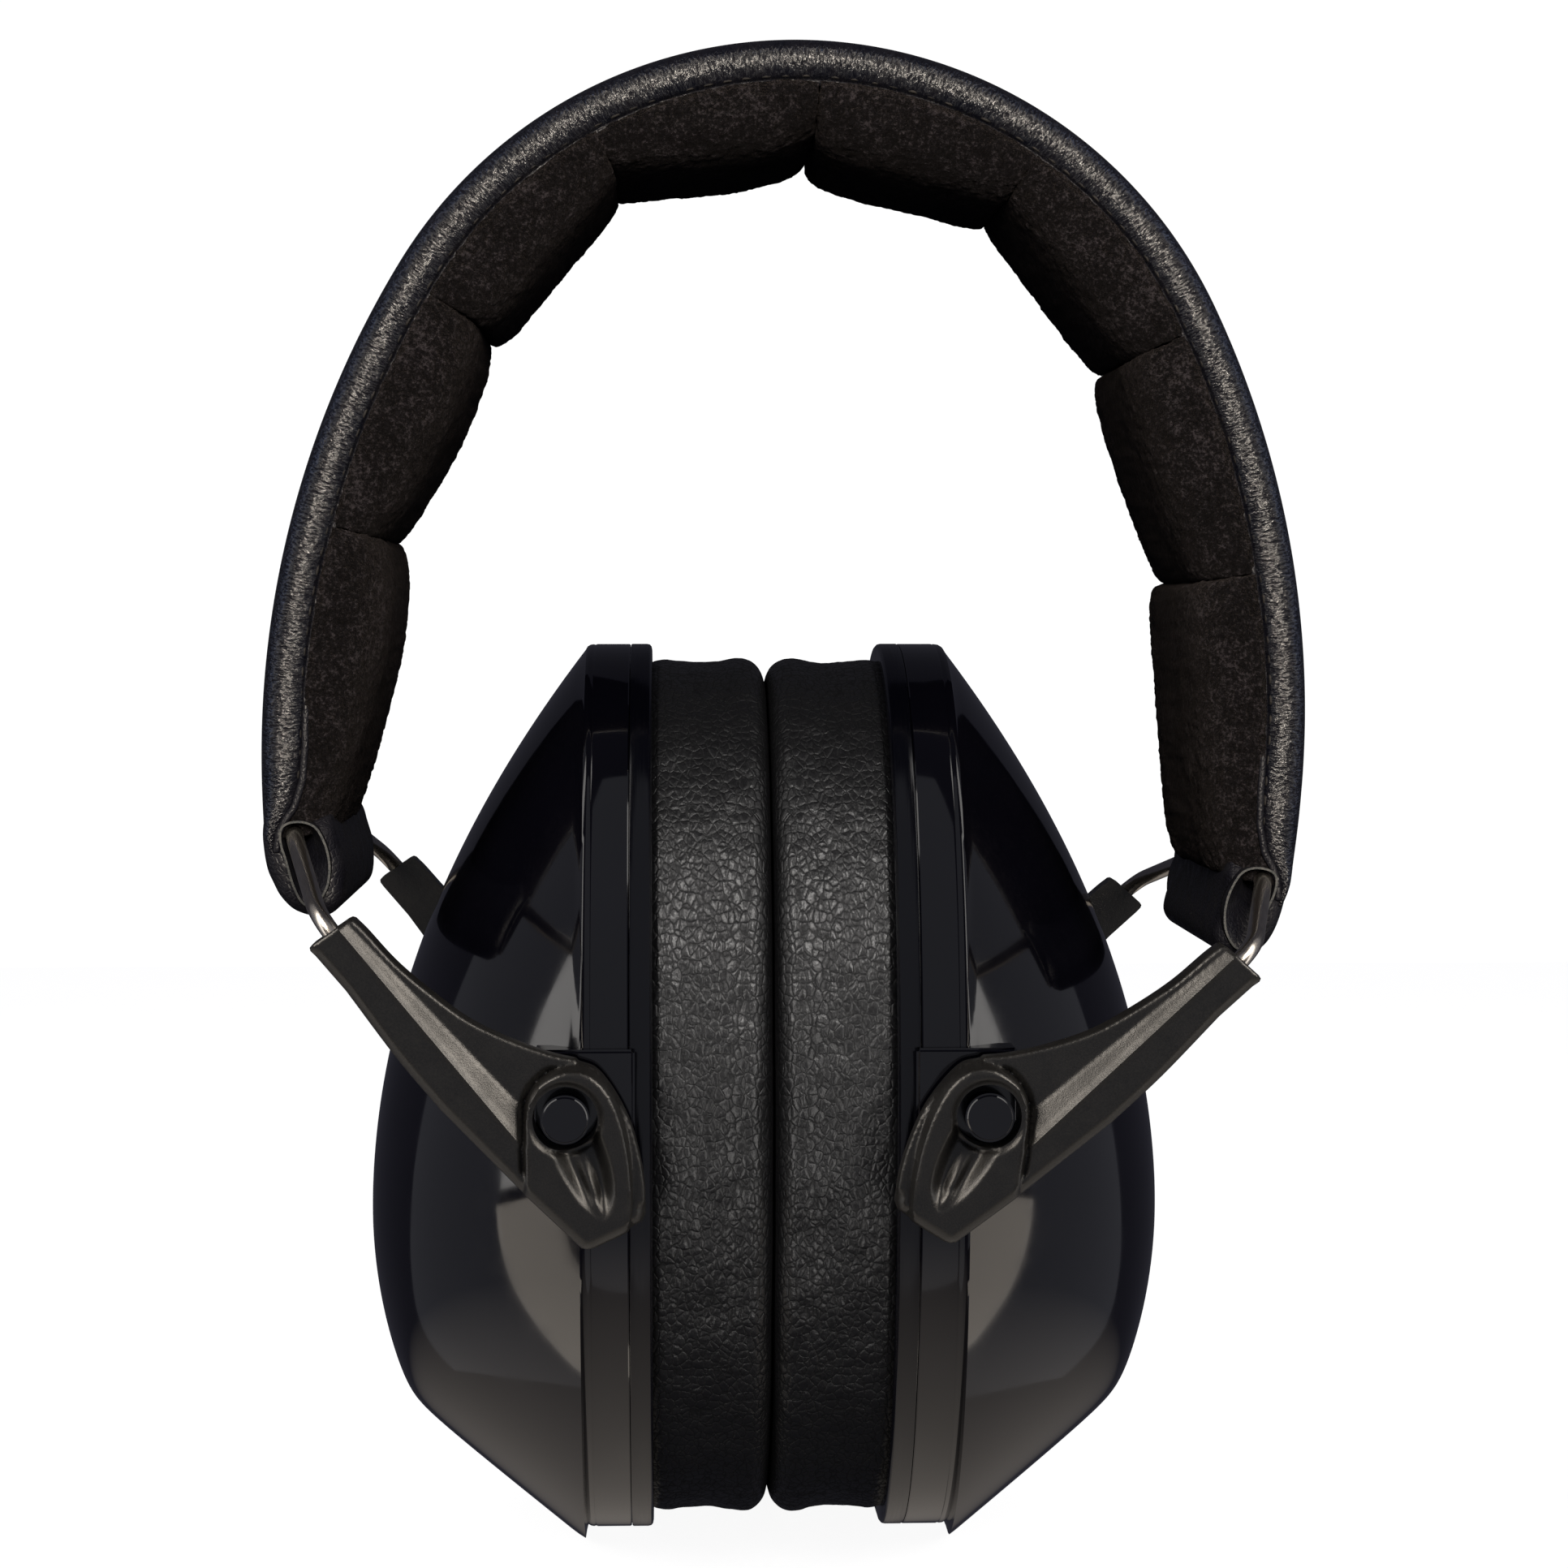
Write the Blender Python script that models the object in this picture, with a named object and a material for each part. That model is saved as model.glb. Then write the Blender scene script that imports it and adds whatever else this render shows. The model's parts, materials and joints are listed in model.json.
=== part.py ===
"""Child-size earmuff hearing protector.

A padded headband, two wire bails, four plastic arms and two ear cups that rest
cushion to cushion. X runs left to right, Y to the back, Z up. The origin is the
middle of the footprint, on the surface that the cups stand on.
"""
import math

import bmesh
import bpy
from mathutils import Matrix, Vector

MM = 0.001                     # every size below is in millimetres
GAP = 0.3                      # clearance between pieces that touch

# Ear cups. Their mirror plane is where the two cushions touch.
CUP_PLANE_X = -1.85            # the plane, from the middle of the footprint
CUP_HEIGHT = 99.2
CUP_HALF_WIDTH = 39.0
CUP_FLAT = 0.6                 # how much the oval is cut off at the foot
OVAL_POWER = 2.15              # superellipse power of the rim outline
OVAL_POINTS = 36
CUSHION_POINTS = 28
RING_FACE = 12.7               # seat ring, cushion side
RING_BACK = 15.1               # seat ring, shell side
SHELL_RIM = 19.9               # where the shell's rim turns into the dome
DOME_DEPTH = 24.7
DOME_RINGS = 9
DOME_APEX_Z = 35.3
DOME_FALL_BELOW = 52.2         # how fast the dome falls away under its apex
DOME_SPAN = (0.6, 24.6)        # depths of the dome's first and last outer rings
DOME_NARROWING = 0.9           # power by which its width closes in
DOME_TIP = 0.4                 # half size of its smallest ring
HOLLOW_SPAN = (3.0, 24.3)      # depths of the first and last inner rings
HOLLOW_RINGS = 6
CHIN_SOFTNESS = 6.0            # rounds the edge between dome and chin
CHIN_SLOPE = 1.285             # depth gained per millimetre up the slanted chin
CHIN_START_Z = 0.3
CHIN_START_DEPTH = 3.7
SHELL_WALL = 2.2
RIM_INSET = 0.1                # the shell's rim, inside the seat ring's edge
RIM_WIDTH = 4.1                # the rim's flat face against the seat ring
WALL_LIFT = 0.01               # keeps the inner rim clear of the flat foot

# Cushions
CUSHION_FACE = 0.2
CUSHION_INSET = 1.9            # from the rim outline to the cushion's side
CUSHION_WIDTH = 16.0           # from the cushion's side to the ear opening
CUSHION_ROLL = 2.6             # radius of the roll along its side
CUSHION_HEEL = 0.2             # how far the side falls in beside the seat ring
CUSHION_SADDLE = 0.5           # and at its waist
CUSHION_CROWN = 0.15           # how far the middle of its face stands out
CUSHION_SKIN = 1.0

# Pivot of each cup
PIN_X = 21.5
PIN_Z = 52.0
PIN_RADIUS = 2.5
PIN_HOLE_RADIUS = 3.4
PIN_END_Y = 46.3
BOSS_RADIUS = 4.6
BOSS_END_Y = 40.5
BOSS_ROOT = 2.4                # how far pins and bosses reach into the rim

# Foam absorber in each cup
ABSORBER_CLEARANCE = 0.5
ABSORBER_SPAN = (14.0, 23.6)   # depths of its front and back
ABSORBER_RINGS = 4

# Arms
ARM_Y = 43.4                   # middle of an arm's thickness
ARM_THICK = 5.0
ARM_EDGE = 0.4                 # chamfer round an arm
ARM_MOUTH = (-23.35, 18.45)    # middle of the socket's mouth, from the pin
SOCKET_SLOPE = 50.0            # degrees below horizontal on the left
SOCKET_RADIUS = 1.35
SOCKET_DEPTH = 23.5
SOCKET_LEAD = 3.0              # the bore starts this far above the mouth
RIGHT_ARM_TURN = 7.5           # the right arms hang this much flatter

# Bails
WIRE_RADIUS = 0.95
BAIL_HALF_BAR = 19.6           # half the crossbar's straight length
LEG_IN_SOCKET = 21.0
LEG_CORNER_RISE = 2.2          # from the socket's mouth up to the leg's bend
BAIL_BEND = 2.4                # how far each bend reaches along the wire

# Headband, as an arch in its own upright frame
ARCH_TOP_Z = 165.0
ARCH_CROWN_RADIUS = 50.6
ARCH_CROWN_ANGLE = 61.4        # from the top to where the flanks begin
ARCH_FLANK_RADIUS = 103.0
ARCH_LEAN = 2.9                # degrees, clockwise from the front
ARCH_FOOT = (1.26, 77.3)       # the lean turns about this point
BAND_HALF_WIDTH = 20.4
COVER_THICK = 4.6
COVER_END = 115.6              # along the outside, from the band's middle
COVER_ROLL = 2.6               # radius of the rolled edges
COVER_LIP = 0.5                # the rolled edge turns in by this at the seam
COVER_CROWN = 0.35             # how far the outside stands out in the middle
STRIP_HALF_WIDTH = 12.5
STRIP_TOP = 3.0                # inset of the strip's outer face
STRIP_THICK = 1.0
STRIP_SHORTER = 0.5            # than its length of cover, at each end
PAD_NOTCHES = (0.0, 27.7, 55.5, 83.9, 119.0)
PAD_TOP = 4.9                  # inset of a pad's outer face
PAD_NOTCH_INSET = 9.2          # how deep the pads reach at a quilting seam
PAD_BELLY = 3.6                # and how much deeper in their middles
PAD_MARGIN = 0.5               # a pad's side, inside the cover's edge
PAD_FOOT = 0.6                 # and where it meets the cover, further in
PAD_SHOULDER = 0.35            # share of the depth that the steep sides take up
PAD_SIDE_POWER = 0.35          # smaller makes the sides squarer
PAD_TOP_POWER = 0.5
PAD_END_POWER = 0.55
SEGMENT_SPLIT = 2              # the band's flanks begin at this notch
TAB_START = 115.9
TAB_END = 127.2
TAB_INSET = 8.7
TAB_TIP = 6.0                  # length of the rounded tip
TAB_TIP_INSET = 4.6            # inset of its lowest point
TAB_HEEL = (4.0, 3.8)          # size of the rounded inner corner
TAB_SIDE = 0.3                 # the loop is this much narrower on each side
TAB_EDGE = 0.5
LEAF_TOP = (1.3, 2.9)          # the opening, from TAB_START, and its inset
LEAF_TIP = (1.7, 5.2)          # and up from TAB_END
LEAF_BULGE = 2.1
LEAF_POINTS = 16
CROSSBAR_INSET = 3.45
CROSSBAR_ALONG = 118.5


def material(name, colour, roughness, metallic=0.0):
    """A Principled BSDF material, made once and shared by name."""
    found = bpy.data.materials.get(name)
    if found:
        return found
    made = bpy.data.materials.new(name)
    made.use_nodes = True
    shader = made.node_tree.nodes["Principled BSDF"]
    shader.inputs["Base Color"].default_value = (*colour, 1.0)
    shader.inputs["Roughness"].default_value = roughness
    shader.inputs["Metallic"].default_value = metallic
    return made


def leatherette(name):
    return material(name, (0.022, 0.021, 0.022), 0.42)


def plush(name):
    return material(name, (0.012, 0.010, 0.010), 0.95)


def gloss_plastic(name):
    return material(name, (0.010, 0.010, 0.018), 0.10)


def satin_plastic(name):
    return material(name, (0.030, 0.029, 0.028), 0.38)


def steel(name):
    return material(name, (0.62, 0.60, 0.57), 0.25, 1.0)


def foam(name):
    return material(name, (0.10, 0.10, 0.105), 0.95)


def clear_scene():
    for thing in list(bpy.data.objects):
        bpy.data.objects.remove(thing, do_unlink=True)


def collection(name):
    made = bpy.data.collections.new(name)
    bpy.context.scene.collection.children.link(made)
    return made


def finish(mesh, name, look, group, smooth=40.0):
    """Turns a mesh in millimetres into a finished, shaded object in metres."""
    mesh.transform(Matrix.Scale(MM, 4))
    made = bpy.data.objects.new(name, mesh)
    mesh.materials.clear()
    mesh.materials.append(look)
    mesh.shade_smooth()
    mesh.set_sharp_from_angle(angle=math.radians(smooth))
    group.objects.link(made)
    return made


def mesh_from_bmesh(bm, name):
    bmesh.ops.recalc_face_normals(bm, faces=bm.faces)
    mesh = bpy.data.meshes.new(name)
    bm.to_mesh(mesh)
    bm.free()
    return mesh


def loft(rings, name, closed=False):
    """A skin over rings of equal length. It is capped, or joined end to start."""
    bm = bmesh.new()
    rows = [[bm.verts.new(point) for point in ring] for ring in rings]
    count = len(rows[0])
    pairs = list(zip(rows, rows[1:]))
    if closed:
        pairs.append((rows[-1], rows[0]))
    for low, high in pairs:
        for i in range(count):
            j = (i + 1) % count
            bm.faces.new((low[i], low[j], high[j], high[i]))
    if not closed:
        bm.faces.new(rows[0])
        bm.faces.new(rows[-1])
    return mesh_from_bmesh(bm, name)


def curve_mesh(curve, name):
    """The solid that a curve makes, as a closed mesh."""
    holder = bpy.data.objects.new(name + "_guide", curve)
    bpy.context.scene.collection.objects.link(holder)
    graph = bpy.context.evaluated_depsgraph_get()
    mesh = bpy.data.meshes.new_from_object(holder.evaluated_get(graph))
    bpy.data.objects.remove(holder, do_unlink=True)
    bm = bmesh.new()
    bm.from_mesh(mesh)
    bmesh.ops.remove_doubles(bm, verts=bm.verts, dist=0.001)
    bpy.data.meshes.remove(mesh)
    return mesh_from_bmesh(bm, name)


def plate(outlines, thickness, name, edge=0.0):
    """A flat plate through closed outlines in its own XY plane, centred on it."""
    curve = bpy.data.curves.new(name, "CURVE")
    curve.dimensions = "2D"
    curve.fill_mode = "BOTH"
    curve.extrude = thickness / 2 - edge
    curve.bevel_depth = edge
    curve.bevel_resolution = 0
    curve.offset = -edge
    for outline in outlines:
        spline = curve.splines.new("POLY")
        spline.points.add(len(outline) - 1)
        for point, (x, y) in zip(spline.points, outline):
            point.co = (x, y, 0, 1)
        spline.use_cyclic_u = True
    return curve_mesh(curve, name)


def wire(path, radius, name):
    curve = bpy.data.curves.new(name, "CURVE")
    curve.dimensions = "3D"
    curve.bevel_depth = radius
    curve.bevel_resolution = 2
    curve.use_fill_caps = True
    spline = curve.splines.new("POLY")
    spline.points.add(len(path) - 1)
    for point, place in zip(spline.points, path):
        point.co = (*place, 1)
    return curve_mesh(curve, name)


def cylinder(radius, start, end, name, sides=24):
    """A closed cylinder from start to end."""
    axis = Vector(end) - Vector(start)
    bm = bmesh.new()
    bmesh.ops.create_cone(bm, cap_ends=True, segments=sides, radius1=radius,
                          radius2=radius, depth=axis.length)
    turn = Vector((0, 0, 1)).rotation_difference(axis).to_matrix().to_4x4()
    middle = (Vector(start) + Vector(end)) / 2
    bmesh.ops.transform(bm, matrix=Matrix.Translation(middle) @ turn, verts=bm.verts)
    return mesh_from_bmesh(bm, name)


def tool(mesh, name, group):
    """A cutter or a piece to be joined, hidden from renders."""
    mesh.transform(Matrix.Scale(MM, 4))
    made = bpy.data.objects.new(name, mesh)
    made.display_type = "WIRE"
    made.hide_render = True
    group.objects.link(made)
    return made


def boolean(target, other, operation):
    step = target.modifiers.new(operation.lower() + "_" + other.name, "BOOLEAN")
    step.operation = operation
    step.object = other
    step.solver = "EXACT"


def arc(centre, radius, start, end, steps):
    """Points on an arc, angles in degrees."""
    angles = [math.radians(start + (end - start) * i / steps) for i in range(steps + 1)]
    return [(centre[0] + radius * math.cos(a), centre[1] + radius * math.sin(a)) for a in angles]


def rounded(path, radius, steps):
    """A polyline with each inner corner replaced by a quadratic bend."""
    out = [Vector(path[0])]
    for before, corner, after in zip(path, path[1:], path[2:]):
        corner = Vector(corner)
        into = corner + (Vector(before) - corner).normalized() * radius
        away = corner + (Vector(after) - corner).normalized() * radius
        for i in range(steps + 1):
            t = i / steps
            out.append(into * (1 - t) ** 2 + corner * 2 * t * (1 - t) + away * t * t)
    out.append(Vector(path[-1]))
    return out


# ---- the cup's shape -------------------------------------------------------

def oval(half_height, half_width, centre_z, power=OVAL_POWER, count=OVAL_POINTS):
    """A superellipse in Y and Z, cut flat where it would pass under Z = 0."""
    points = []
    for i in range(count):
        a = 2 * math.pi * (i + 0.5) / count
        c = math.cos(a)
        s = math.sin(a)
        y = half_width * math.copysign(abs(c) ** (2 / power), c)
        z = centre_z + half_height * math.copysign(abs(s) ** (2 / power), s)
        points.append((y, max(z, 0.0)))
    return points


def rim_oval(inset=0.0, count=OVAL_POINTS):
    half_height = CUP_HEIGHT / 2 + CUP_FLAT / 2 - inset
    centre = CUP_HEIGHT / 2 - CUP_FLAT / 2
    return oval(half_height, CUP_HALF_WIDTH - inset, centre, count=count)


def dome_limits(depth):
    """Top, bottom and half width of the dome where it is this deep."""
    left = math.sqrt(max(0.0, 1 - depth / DOME_DEPTH))
    top = DOME_APEX_Z + (CUP_HEIGHT - DOME_APEX_Z) * left
    under = DOME_APEX_Z - DOME_FALL_BELOW * left
    chin = CHIN_START_Z + (depth - CHIN_START_DEPTH) / CHIN_SLOPE
    blend = math.sqrt((under - chin) ** 2 + CHIN_SOFTNESS)
    low = (under + chin + blend) / 2
    return top, min(low, top), CUP_HALF_WIDTH * left ** DOME_NARROWING


def dome_ring(depth, wall):
    """An oval ring of the dome, as (x, y, z) with x measured from the cup plane."""
    top, low, half_width = dome_limits(depth)
    half = max((top - low) / 2 - wall, DOME_TIP)
    wide = max(half_width - wall, DOME_TIP)
    middle = (top + low) / 2
    share = depth / DOME_DEPTH
    power = OVAL_POWER + (2.0 - OVAL_POWER) * share
    x = -(SHELL_RIM + depth - wall)
    return [(x, y, z) for y, z in oval(half, wide, middle, power)]


def dome_depths(first, last, steps):
    """Depths that crowd towards the apex, where the dome flattens."""
    start = 1 - math.sqrt(1 - first / DOME_DEPTH)
    end = 1 - math.sqrt(1 - last / DOME_DEPTH)
    shares = [start + (end - start) * i / steps for i in range(steps + 1)]
    return [DOME_DEPTH * (1 - (1 - share) ** 2) for share in shares]


def to_side(mesh, sign):
    """Mirrors a left-hand cup mesh when sign is +1 and puts it at the cup plane."""
    if sign > 0:
        mesh.transform(Matrix.Diagonal((-1, 1, 1, 1)))
        mesh.flip_normals()
    mesh.transform(Matrix.Translation((CUP_PLANE_X, 0, 0)))
    return mesh


def cup_shell(side, sign, group, cutters):
    """The moulded shell: rim, dome and the two pivot pins on their bosses."""
    rings = [[(-(RING_BACK + GAP), y, z) for y, z in rim_oval(RIM_INSET)]]
    rings.append([(-SHELL_RIM, y, z) for y, z in rim_oval(RIM_INSET)])
    rings += [dome_ring(depth, 0.0) for depth in dome_depths(*DOME_SPAN, DOME_RINGS)]
    hollow = dome_depths(*HOLLOW_SPAN, HOLLOW_RINGS)
    rings += [dome_ring(depth, SHELL_WALL) for depth in reversed(hollow)]
    inner_rim = rim_oval(RIM_INSET + RIM_WIDTH)
    rings.append([(-(RING_BACK + GAP), y, z + WALL_LIFT) for y, z in inner_rim])
    bm = bmesh.new()
    rows = [[bm.verts.new(point) for point in ring] for ring in rings]
    outer_rows = 2 + DOME_RINGS + 1
    count = len(rows[0])
    for k, (low, high) in enumerate(zip(rows, rows[1:])):
        if k == outer_rows - 1:
            bm.faces.new(low)
            bm.faces.new(high)
            continue
        for i in range(count):
            j = (i + 1) % count
            bm.faces.new((low[i], low[j], high[j], high[i]))
    for i in range(count):
        j = (i + 1) % count
        bm.faces.new((rows[0][i], rows[0][j], rows[-1][j], rows[-1][i]))
    mesh = to_side(mesh_from_bmesh(bm, side + "_cup_shell"), sign)
    shell = finish(mesh, side + "_cup_shell", gloss_plastic("shell_" + side), group)
    for end, way in (("front", -1), ("rear", 1)):
        foot = (-PIN_X, way * (CUP_HALF_WIDTH - BOSS_ROOT), PIN_Z)
        boss = cylinder(BOSS_RADIUS, foot, (-PIN_X, way * BOSS_END_Y, PIN_Z), "boss")
        boolean(shell, tool(to_side(boss, sign), f"{side}_{end}_boss", cutters), "UNION")
        pin = cylinder(PIN_RADIUS, foot, (-PIN_X, way * PIN_END_Y, PIN_Z), "pin")
        boolean(shell, tool(to_side(pin, sign), f"{side}_{end}_pin", cutters), "UNION")
    return shell


def seat_ring(side, sign, group):
    """The snap-in plate that carries the cushion; its oval edge shows as a line."""
    hole = CUSHION_INSET + CUSHION_WIDTH
    outer = rim_oval(0.0)
    inner = rim_oval(hole)
    rings = []
    for x, outline in ((RING_FACE, outer), (RING_BACK, outer), (RING_BACK, inner), (RING_FACE, inner)):
        rings.append([(-x, y, z) for y, z in outline])
    mesh = to_side(loft(rings, side + "_seat_ring", closed=True), sign)
    return finish(mesh, side + "_seat_ring", gloss_plastic("ring_" + side), group)


def cushion_section(wall):
    """Half section of the cushion as (inset from its side, distance from the cup plane)."""
    back = RING_FACE - GAP
    roll = CUSHION_ROLL
    face = CUSHION_FACE + wall
    left = roll
    right = CUSHION_WIDTH - roll
    points = [(wall + CUSHION_HEEL, back), (wall + CUSHION_SADDLE, back - roll)]
    points.append((wall + CUSHION_HEEL, back - 2 * roll))
    for y, x in arc((left, CUSHION_FACE + roll), roll - wall, 180, 270, 3):
        points.append((y, x))
    points.append((CUSHION_WIDTH / 2, face - (0.0 if wall else CUSHION_CROWN)))
    for y, x in arc((right, CUSHION_FACE + roll), roll - wall, 270, 360, 3):
        points.append((y, x))
    points.append((CUSHION_WIDTH - wall, back))
    return points


def swept_oval(section, name):
    """A ring whose section, given as (inset, x), runs round the cushion's oval."""
    rings = []
    for inset, x in section:
        outline = rim_oval(CUSHION_INSET + inset, CUSHION_POINTS)
        rings.append([(-x, y, z) for y, z in outline])
    return loft(rings, name, closed=True)


def cushion(side, sign, group):
    """The leatherette skin of an ear cushion, open at its back."""
    section = cushion_section(0.0) + list(reversed(cushion_section(CUSHION_SKIN)))
    mesh = to_side(swept_oval(section, side + "_cushion"), sign)
    return finish(mesh, side + "_cushion", leatherette("cushion_" + side), group)


def cushion_foam(side, sign, group):
    """The foam ring inside the cushion's skin."""
    section = cushion_section(CUSHION_SKIN + GAP)
    mesh = to_side(swept_oval(section, side + "_cushion_foam"), sign)
    return finish(mesh, side + "_cushion_foam", foam("foam_" + side), group)


def absorber(side, sign, group):
    """The foam pad that lies in the bottom of the cup."""
    wall = SHELL_WALL + ABSORBER_CLEARANCE
    rings = [dome_ring(depth, wall) for depth in dome_depths(*ABSORBER_SPAN, ABSORBER_RINGS)]
    mesh = to_side(loft(rings, side + "_absorber"), sign)
    return finish(mesh, side + "_absorber", foam("absorber_" + side), group)


# ---- arms and bails --------------------------------------------------------

def arm_outline():
    """The arm from the front, from its pin: a straight socket, a hub and a lip."""
    points = [(-25.3, 17.1), (-22.1, 13.0), (-17.1, 5.9), (-12.7, 0.9), (-9.0, -3.0)]
    points += [(-4.8, -7.2), (2.1, -13.7), (6.5, -11.2)]
    points += arc((-4.5, -9.0), 12.6, -6, 38, 5)
    points += arc((0.3, 0.2), 5.6, 40, 88, 4)
    points += arc((8.0, 41.5), 36.8, 255, 222, 6)
    points += [(-20.4, 19.0), (-21.4, 19.8)]
    return points


def socket_direction(sign):
    """Unit vector down the socket, from its mouth towards the pin."""
    slope = math.radians(SOCKET_SLOPE - (RIGHT_ARM_TURN if sign > 0 else 0.0))
    return Vector((-sign * math.cos(slope), 0, -math.sin(slope)))


def arm_place(point, sign):
    """A point of the arm's own plane as (x, z), on its side of the object."""
    x, z = point
    if sign > 0:
        turn = math.radians(-RIGHT_ARM_TURN)
        x = -x
        x, z = x * math.cos(turn) - z * math.sin(turn), x * math.sin(turn) + z * math.cos(turn)
    return sign * PIN_X + x + CUP_PLANE_X, PIN_Z + z


def arm(side, end, sign, way, group, cutters):
    """One moulded arm: a plate with a round hole for the pin and a socket for the wire."""
    name = f"{side}_{end}_arm"
    hole = arc((0, 0), PIN_HOLE_RADIUS, 0, 345, 23)
    outlines = [[arm_place(p, sign) for p in outline] for outline in (arm_outline(), hole)]
    mesh = plate(outlines, ARM_THICK, name, edge=ARM_EDGE)
    mesh.transform(Matrix.Rotation(math.radians(90), 4, "X"))
    mesh.transform(Matrix.Translation((0, way * ARM_Y, 0)))
    made = finish(mesh, name, satin_plastic(name + "_plastic"), group)
    down = socket_direction(sign)
    x, z = arm_place(ARM_MOUTH, sign)
    mouth = Vector((x, way * ARM_Y, z))
    bore = cylinder(SOCKET_RADIUS, mouth - down * SOCKET_LEAD, mouth + down * SOCKET_DEPTH, "bore", 12)
    boolean(made, tool(bore, name + "_bore", cutters), "DIFFERENCE")
    return made


def bail(side, sign, group):
    """The spring-steel bail: a crossbar in the band's loop and a leg into each arm."""
    hang = crossbar(sign)
    x, z = arm_place(ARM_MOUTH, sign)
    down = socket_direction(sign)
    path = []
    for way in (-1, 1):
        mouth = Vector((x, way * ARM_Y, z))
        bend = mouth - down * LEG_CORNER_RISE
        tip = mouth + down * LEG_IN_SOCKET
        leg = [tip, bend, Vector((hang.x, way * BAIL_HALF_BAR, hang.z))]
        path += leg if way < 0 else list(reversed(leg))
    mesh = wire(rounded(path, BAIL_BEND, 4), WIRE_RADIUS, side + "_bail")
    return finish(mesh, side + "_bail", steel("bail_" + side), group, 60)


# ---- headband --------------------------------------------------------------

def arch_point(along, inset):
    """A point of the leaning arch: along its outside from the top, then inwards."""
    crown = math.radians(ARCH_CROWN_ANGLE)
    centre_z = ARCH_TOP_Z - ARCH_CROWN_RADIUS
    length = ARCH_CROWN_RADIUS * crown
    sign = math.copysign(1, along)
    if abs(along) <= length:
        angle = abs(along) / ARCH_CROWN_RADIUS
        x = (ARCH_CROWN_RADIUS - inset) * math.sin(angle)
        z = centre_z + (ARCH_CROWN_RADIUS - inset) * math.cos(angle)
    else:
        angle = crown + (abs(along) - length) / ARCH_FLANK_RADIUS
        step = ARCH_FLANK_RADIUS - ARCH_CROWN_RADIUS
        x = (ARCH_FLANK_RADIUS - inset) * math.sin(angle) - step * math.sin(crown)
        z = centre_z + (ARCH_FLANK_RADIUS - inset) * math.cos(angle) - step * math.cos(crown)
    x = sign * x
    z = z - ARCH_FOOT[1]
    lean = math.radians(-ARCH_LEAN)
    turned = (x * math.cos(lean) - z * math.sin(lean), x * math.sin(lean) + z * math.cos(lean))
    return Vector((ARCH_FOOT[0] + turned[0] + CUP_PLANE_X, 0, ARCH_FOOT[1] + turned[1]))


def crossbar(sign):
    """Where a bail's crossbar runs through the band's end."""
    return arch_point(sign * CROSSBAR_ALONG, CROSSBAR_INSET)


def band_ring(along, section):
    """A cross-section, given as (inset, y), set square to the band."""
    ring = []
    for inset, y in section:
        place = arch_point(along, inset)
        ring.append((place.x, y, place.z))
    return ring


def cover_section():
    """The leather cover: rolled outer edges and a shallow channel for the strip."""
    half = BAND_HALF_WIDTH
    roll = COVER_ROLL
    points = [(COVER_THICK, half - COVER_LIP)]
    points += [(roll - roll * math.sin(a), half - roll + roll * math.cos(a))
               for a in (math.radians(22.5 * i) for i in range(5))]
    points.append((-COVER_CROWN, half * 0.4))
    mirrored = [(inset, -y) for inset, y in reversed(points)]
    channel = [(COVER_THICK, -STRIP_HALF_WIDTH - GAP), (STRIP_TOP - GAP, -STRIP_HALF_WIDTH - GAP)]
    return points + mirrored + channel + [(inset, -y) for inset, y in reversed(channel)]


def strip_section():
    low = STRIP_TOP + STRIP_THICK
    return [(STRIP_TOP, STRIP_HALF_WIDTH), (STRIP_TOP, -STRIP_HALF_WIDTH),
            (low, -STRIP_HALF_WIDTH), (low, STRIP_HALF_WIDTH)]


def pad_section(inner):
    """A lining pad: flat against the cover, pillowed towards the head."""
    half = BAND_HALF_WIDTH - PAD_MARGIN
    points = [(PAD_TOP, half - PAD_FOOT)]
    depth = inner - PAD_TOP
    for i in range(1, 8):
        a = math.pi * i / 8
        y = half * math.copysign(abs(math.cos(a)) ** PAD_SIDE_POWER, math.cos(a))
        share = PAD_SHOULDER + (1 - PAD_SHOULDER) * math.sin(a) ** PAD_TOP_POWER
        points.append((PAD_TOP + depth * share, y))
    points.append((PAD_TOP, PAD_FOOT - half))
    return points


def band_piece(name, start, end, section, look, group, steps=10):
    rings = [band_ring(start + (end - start) * i / steps, section) for i in range(steps + 1)]
    return finish(loft(rings, name), name, look, group)


def lining_pad(number, start, end, group):
    """One quilted section of the plush lining."""
    rings = []
    steps = 8
    for i in range(steps + 1):
        share = (1 - math.cos(math.pi * i / steps)) / 2
        inner = PAD_NOTCH_INSET + PAD_BELLY * math.sin(math.pi * share) ** PAD_END_POWER
        rings.append(band_ring(start + (end - start) * share, pad_section(inner)))
    name = f"lining_pad_{number}"
    return finish(loft(rings, name), name, plush(name + "_plush"), group)


def tab_outline(sign):
    """The folded end of the band from the side, as (x, z)."""
    tip_from = TAB_END - TAB_TIP
    length, height = TAB_HEEL
    points = [(TAB_START, 0.0)]
    points += [(tip_from + TAB_TIP * math.sin(a), TAB_TIP_INSET * (1 - math.cos(a)))
               for a in (math.radians(18 * i) for i in range(6))]
    points += [(TAB_END - length + length * math.cos(a), TAB_INSET - height + height * math.sin(a))
               for a in (math.radians(22.5 * i) for i in range(1, 5))]
    points.append((TAB_START, TAB_INSET))
    return [place_on_band(sign, along, inset) for along, inset in points]


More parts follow.
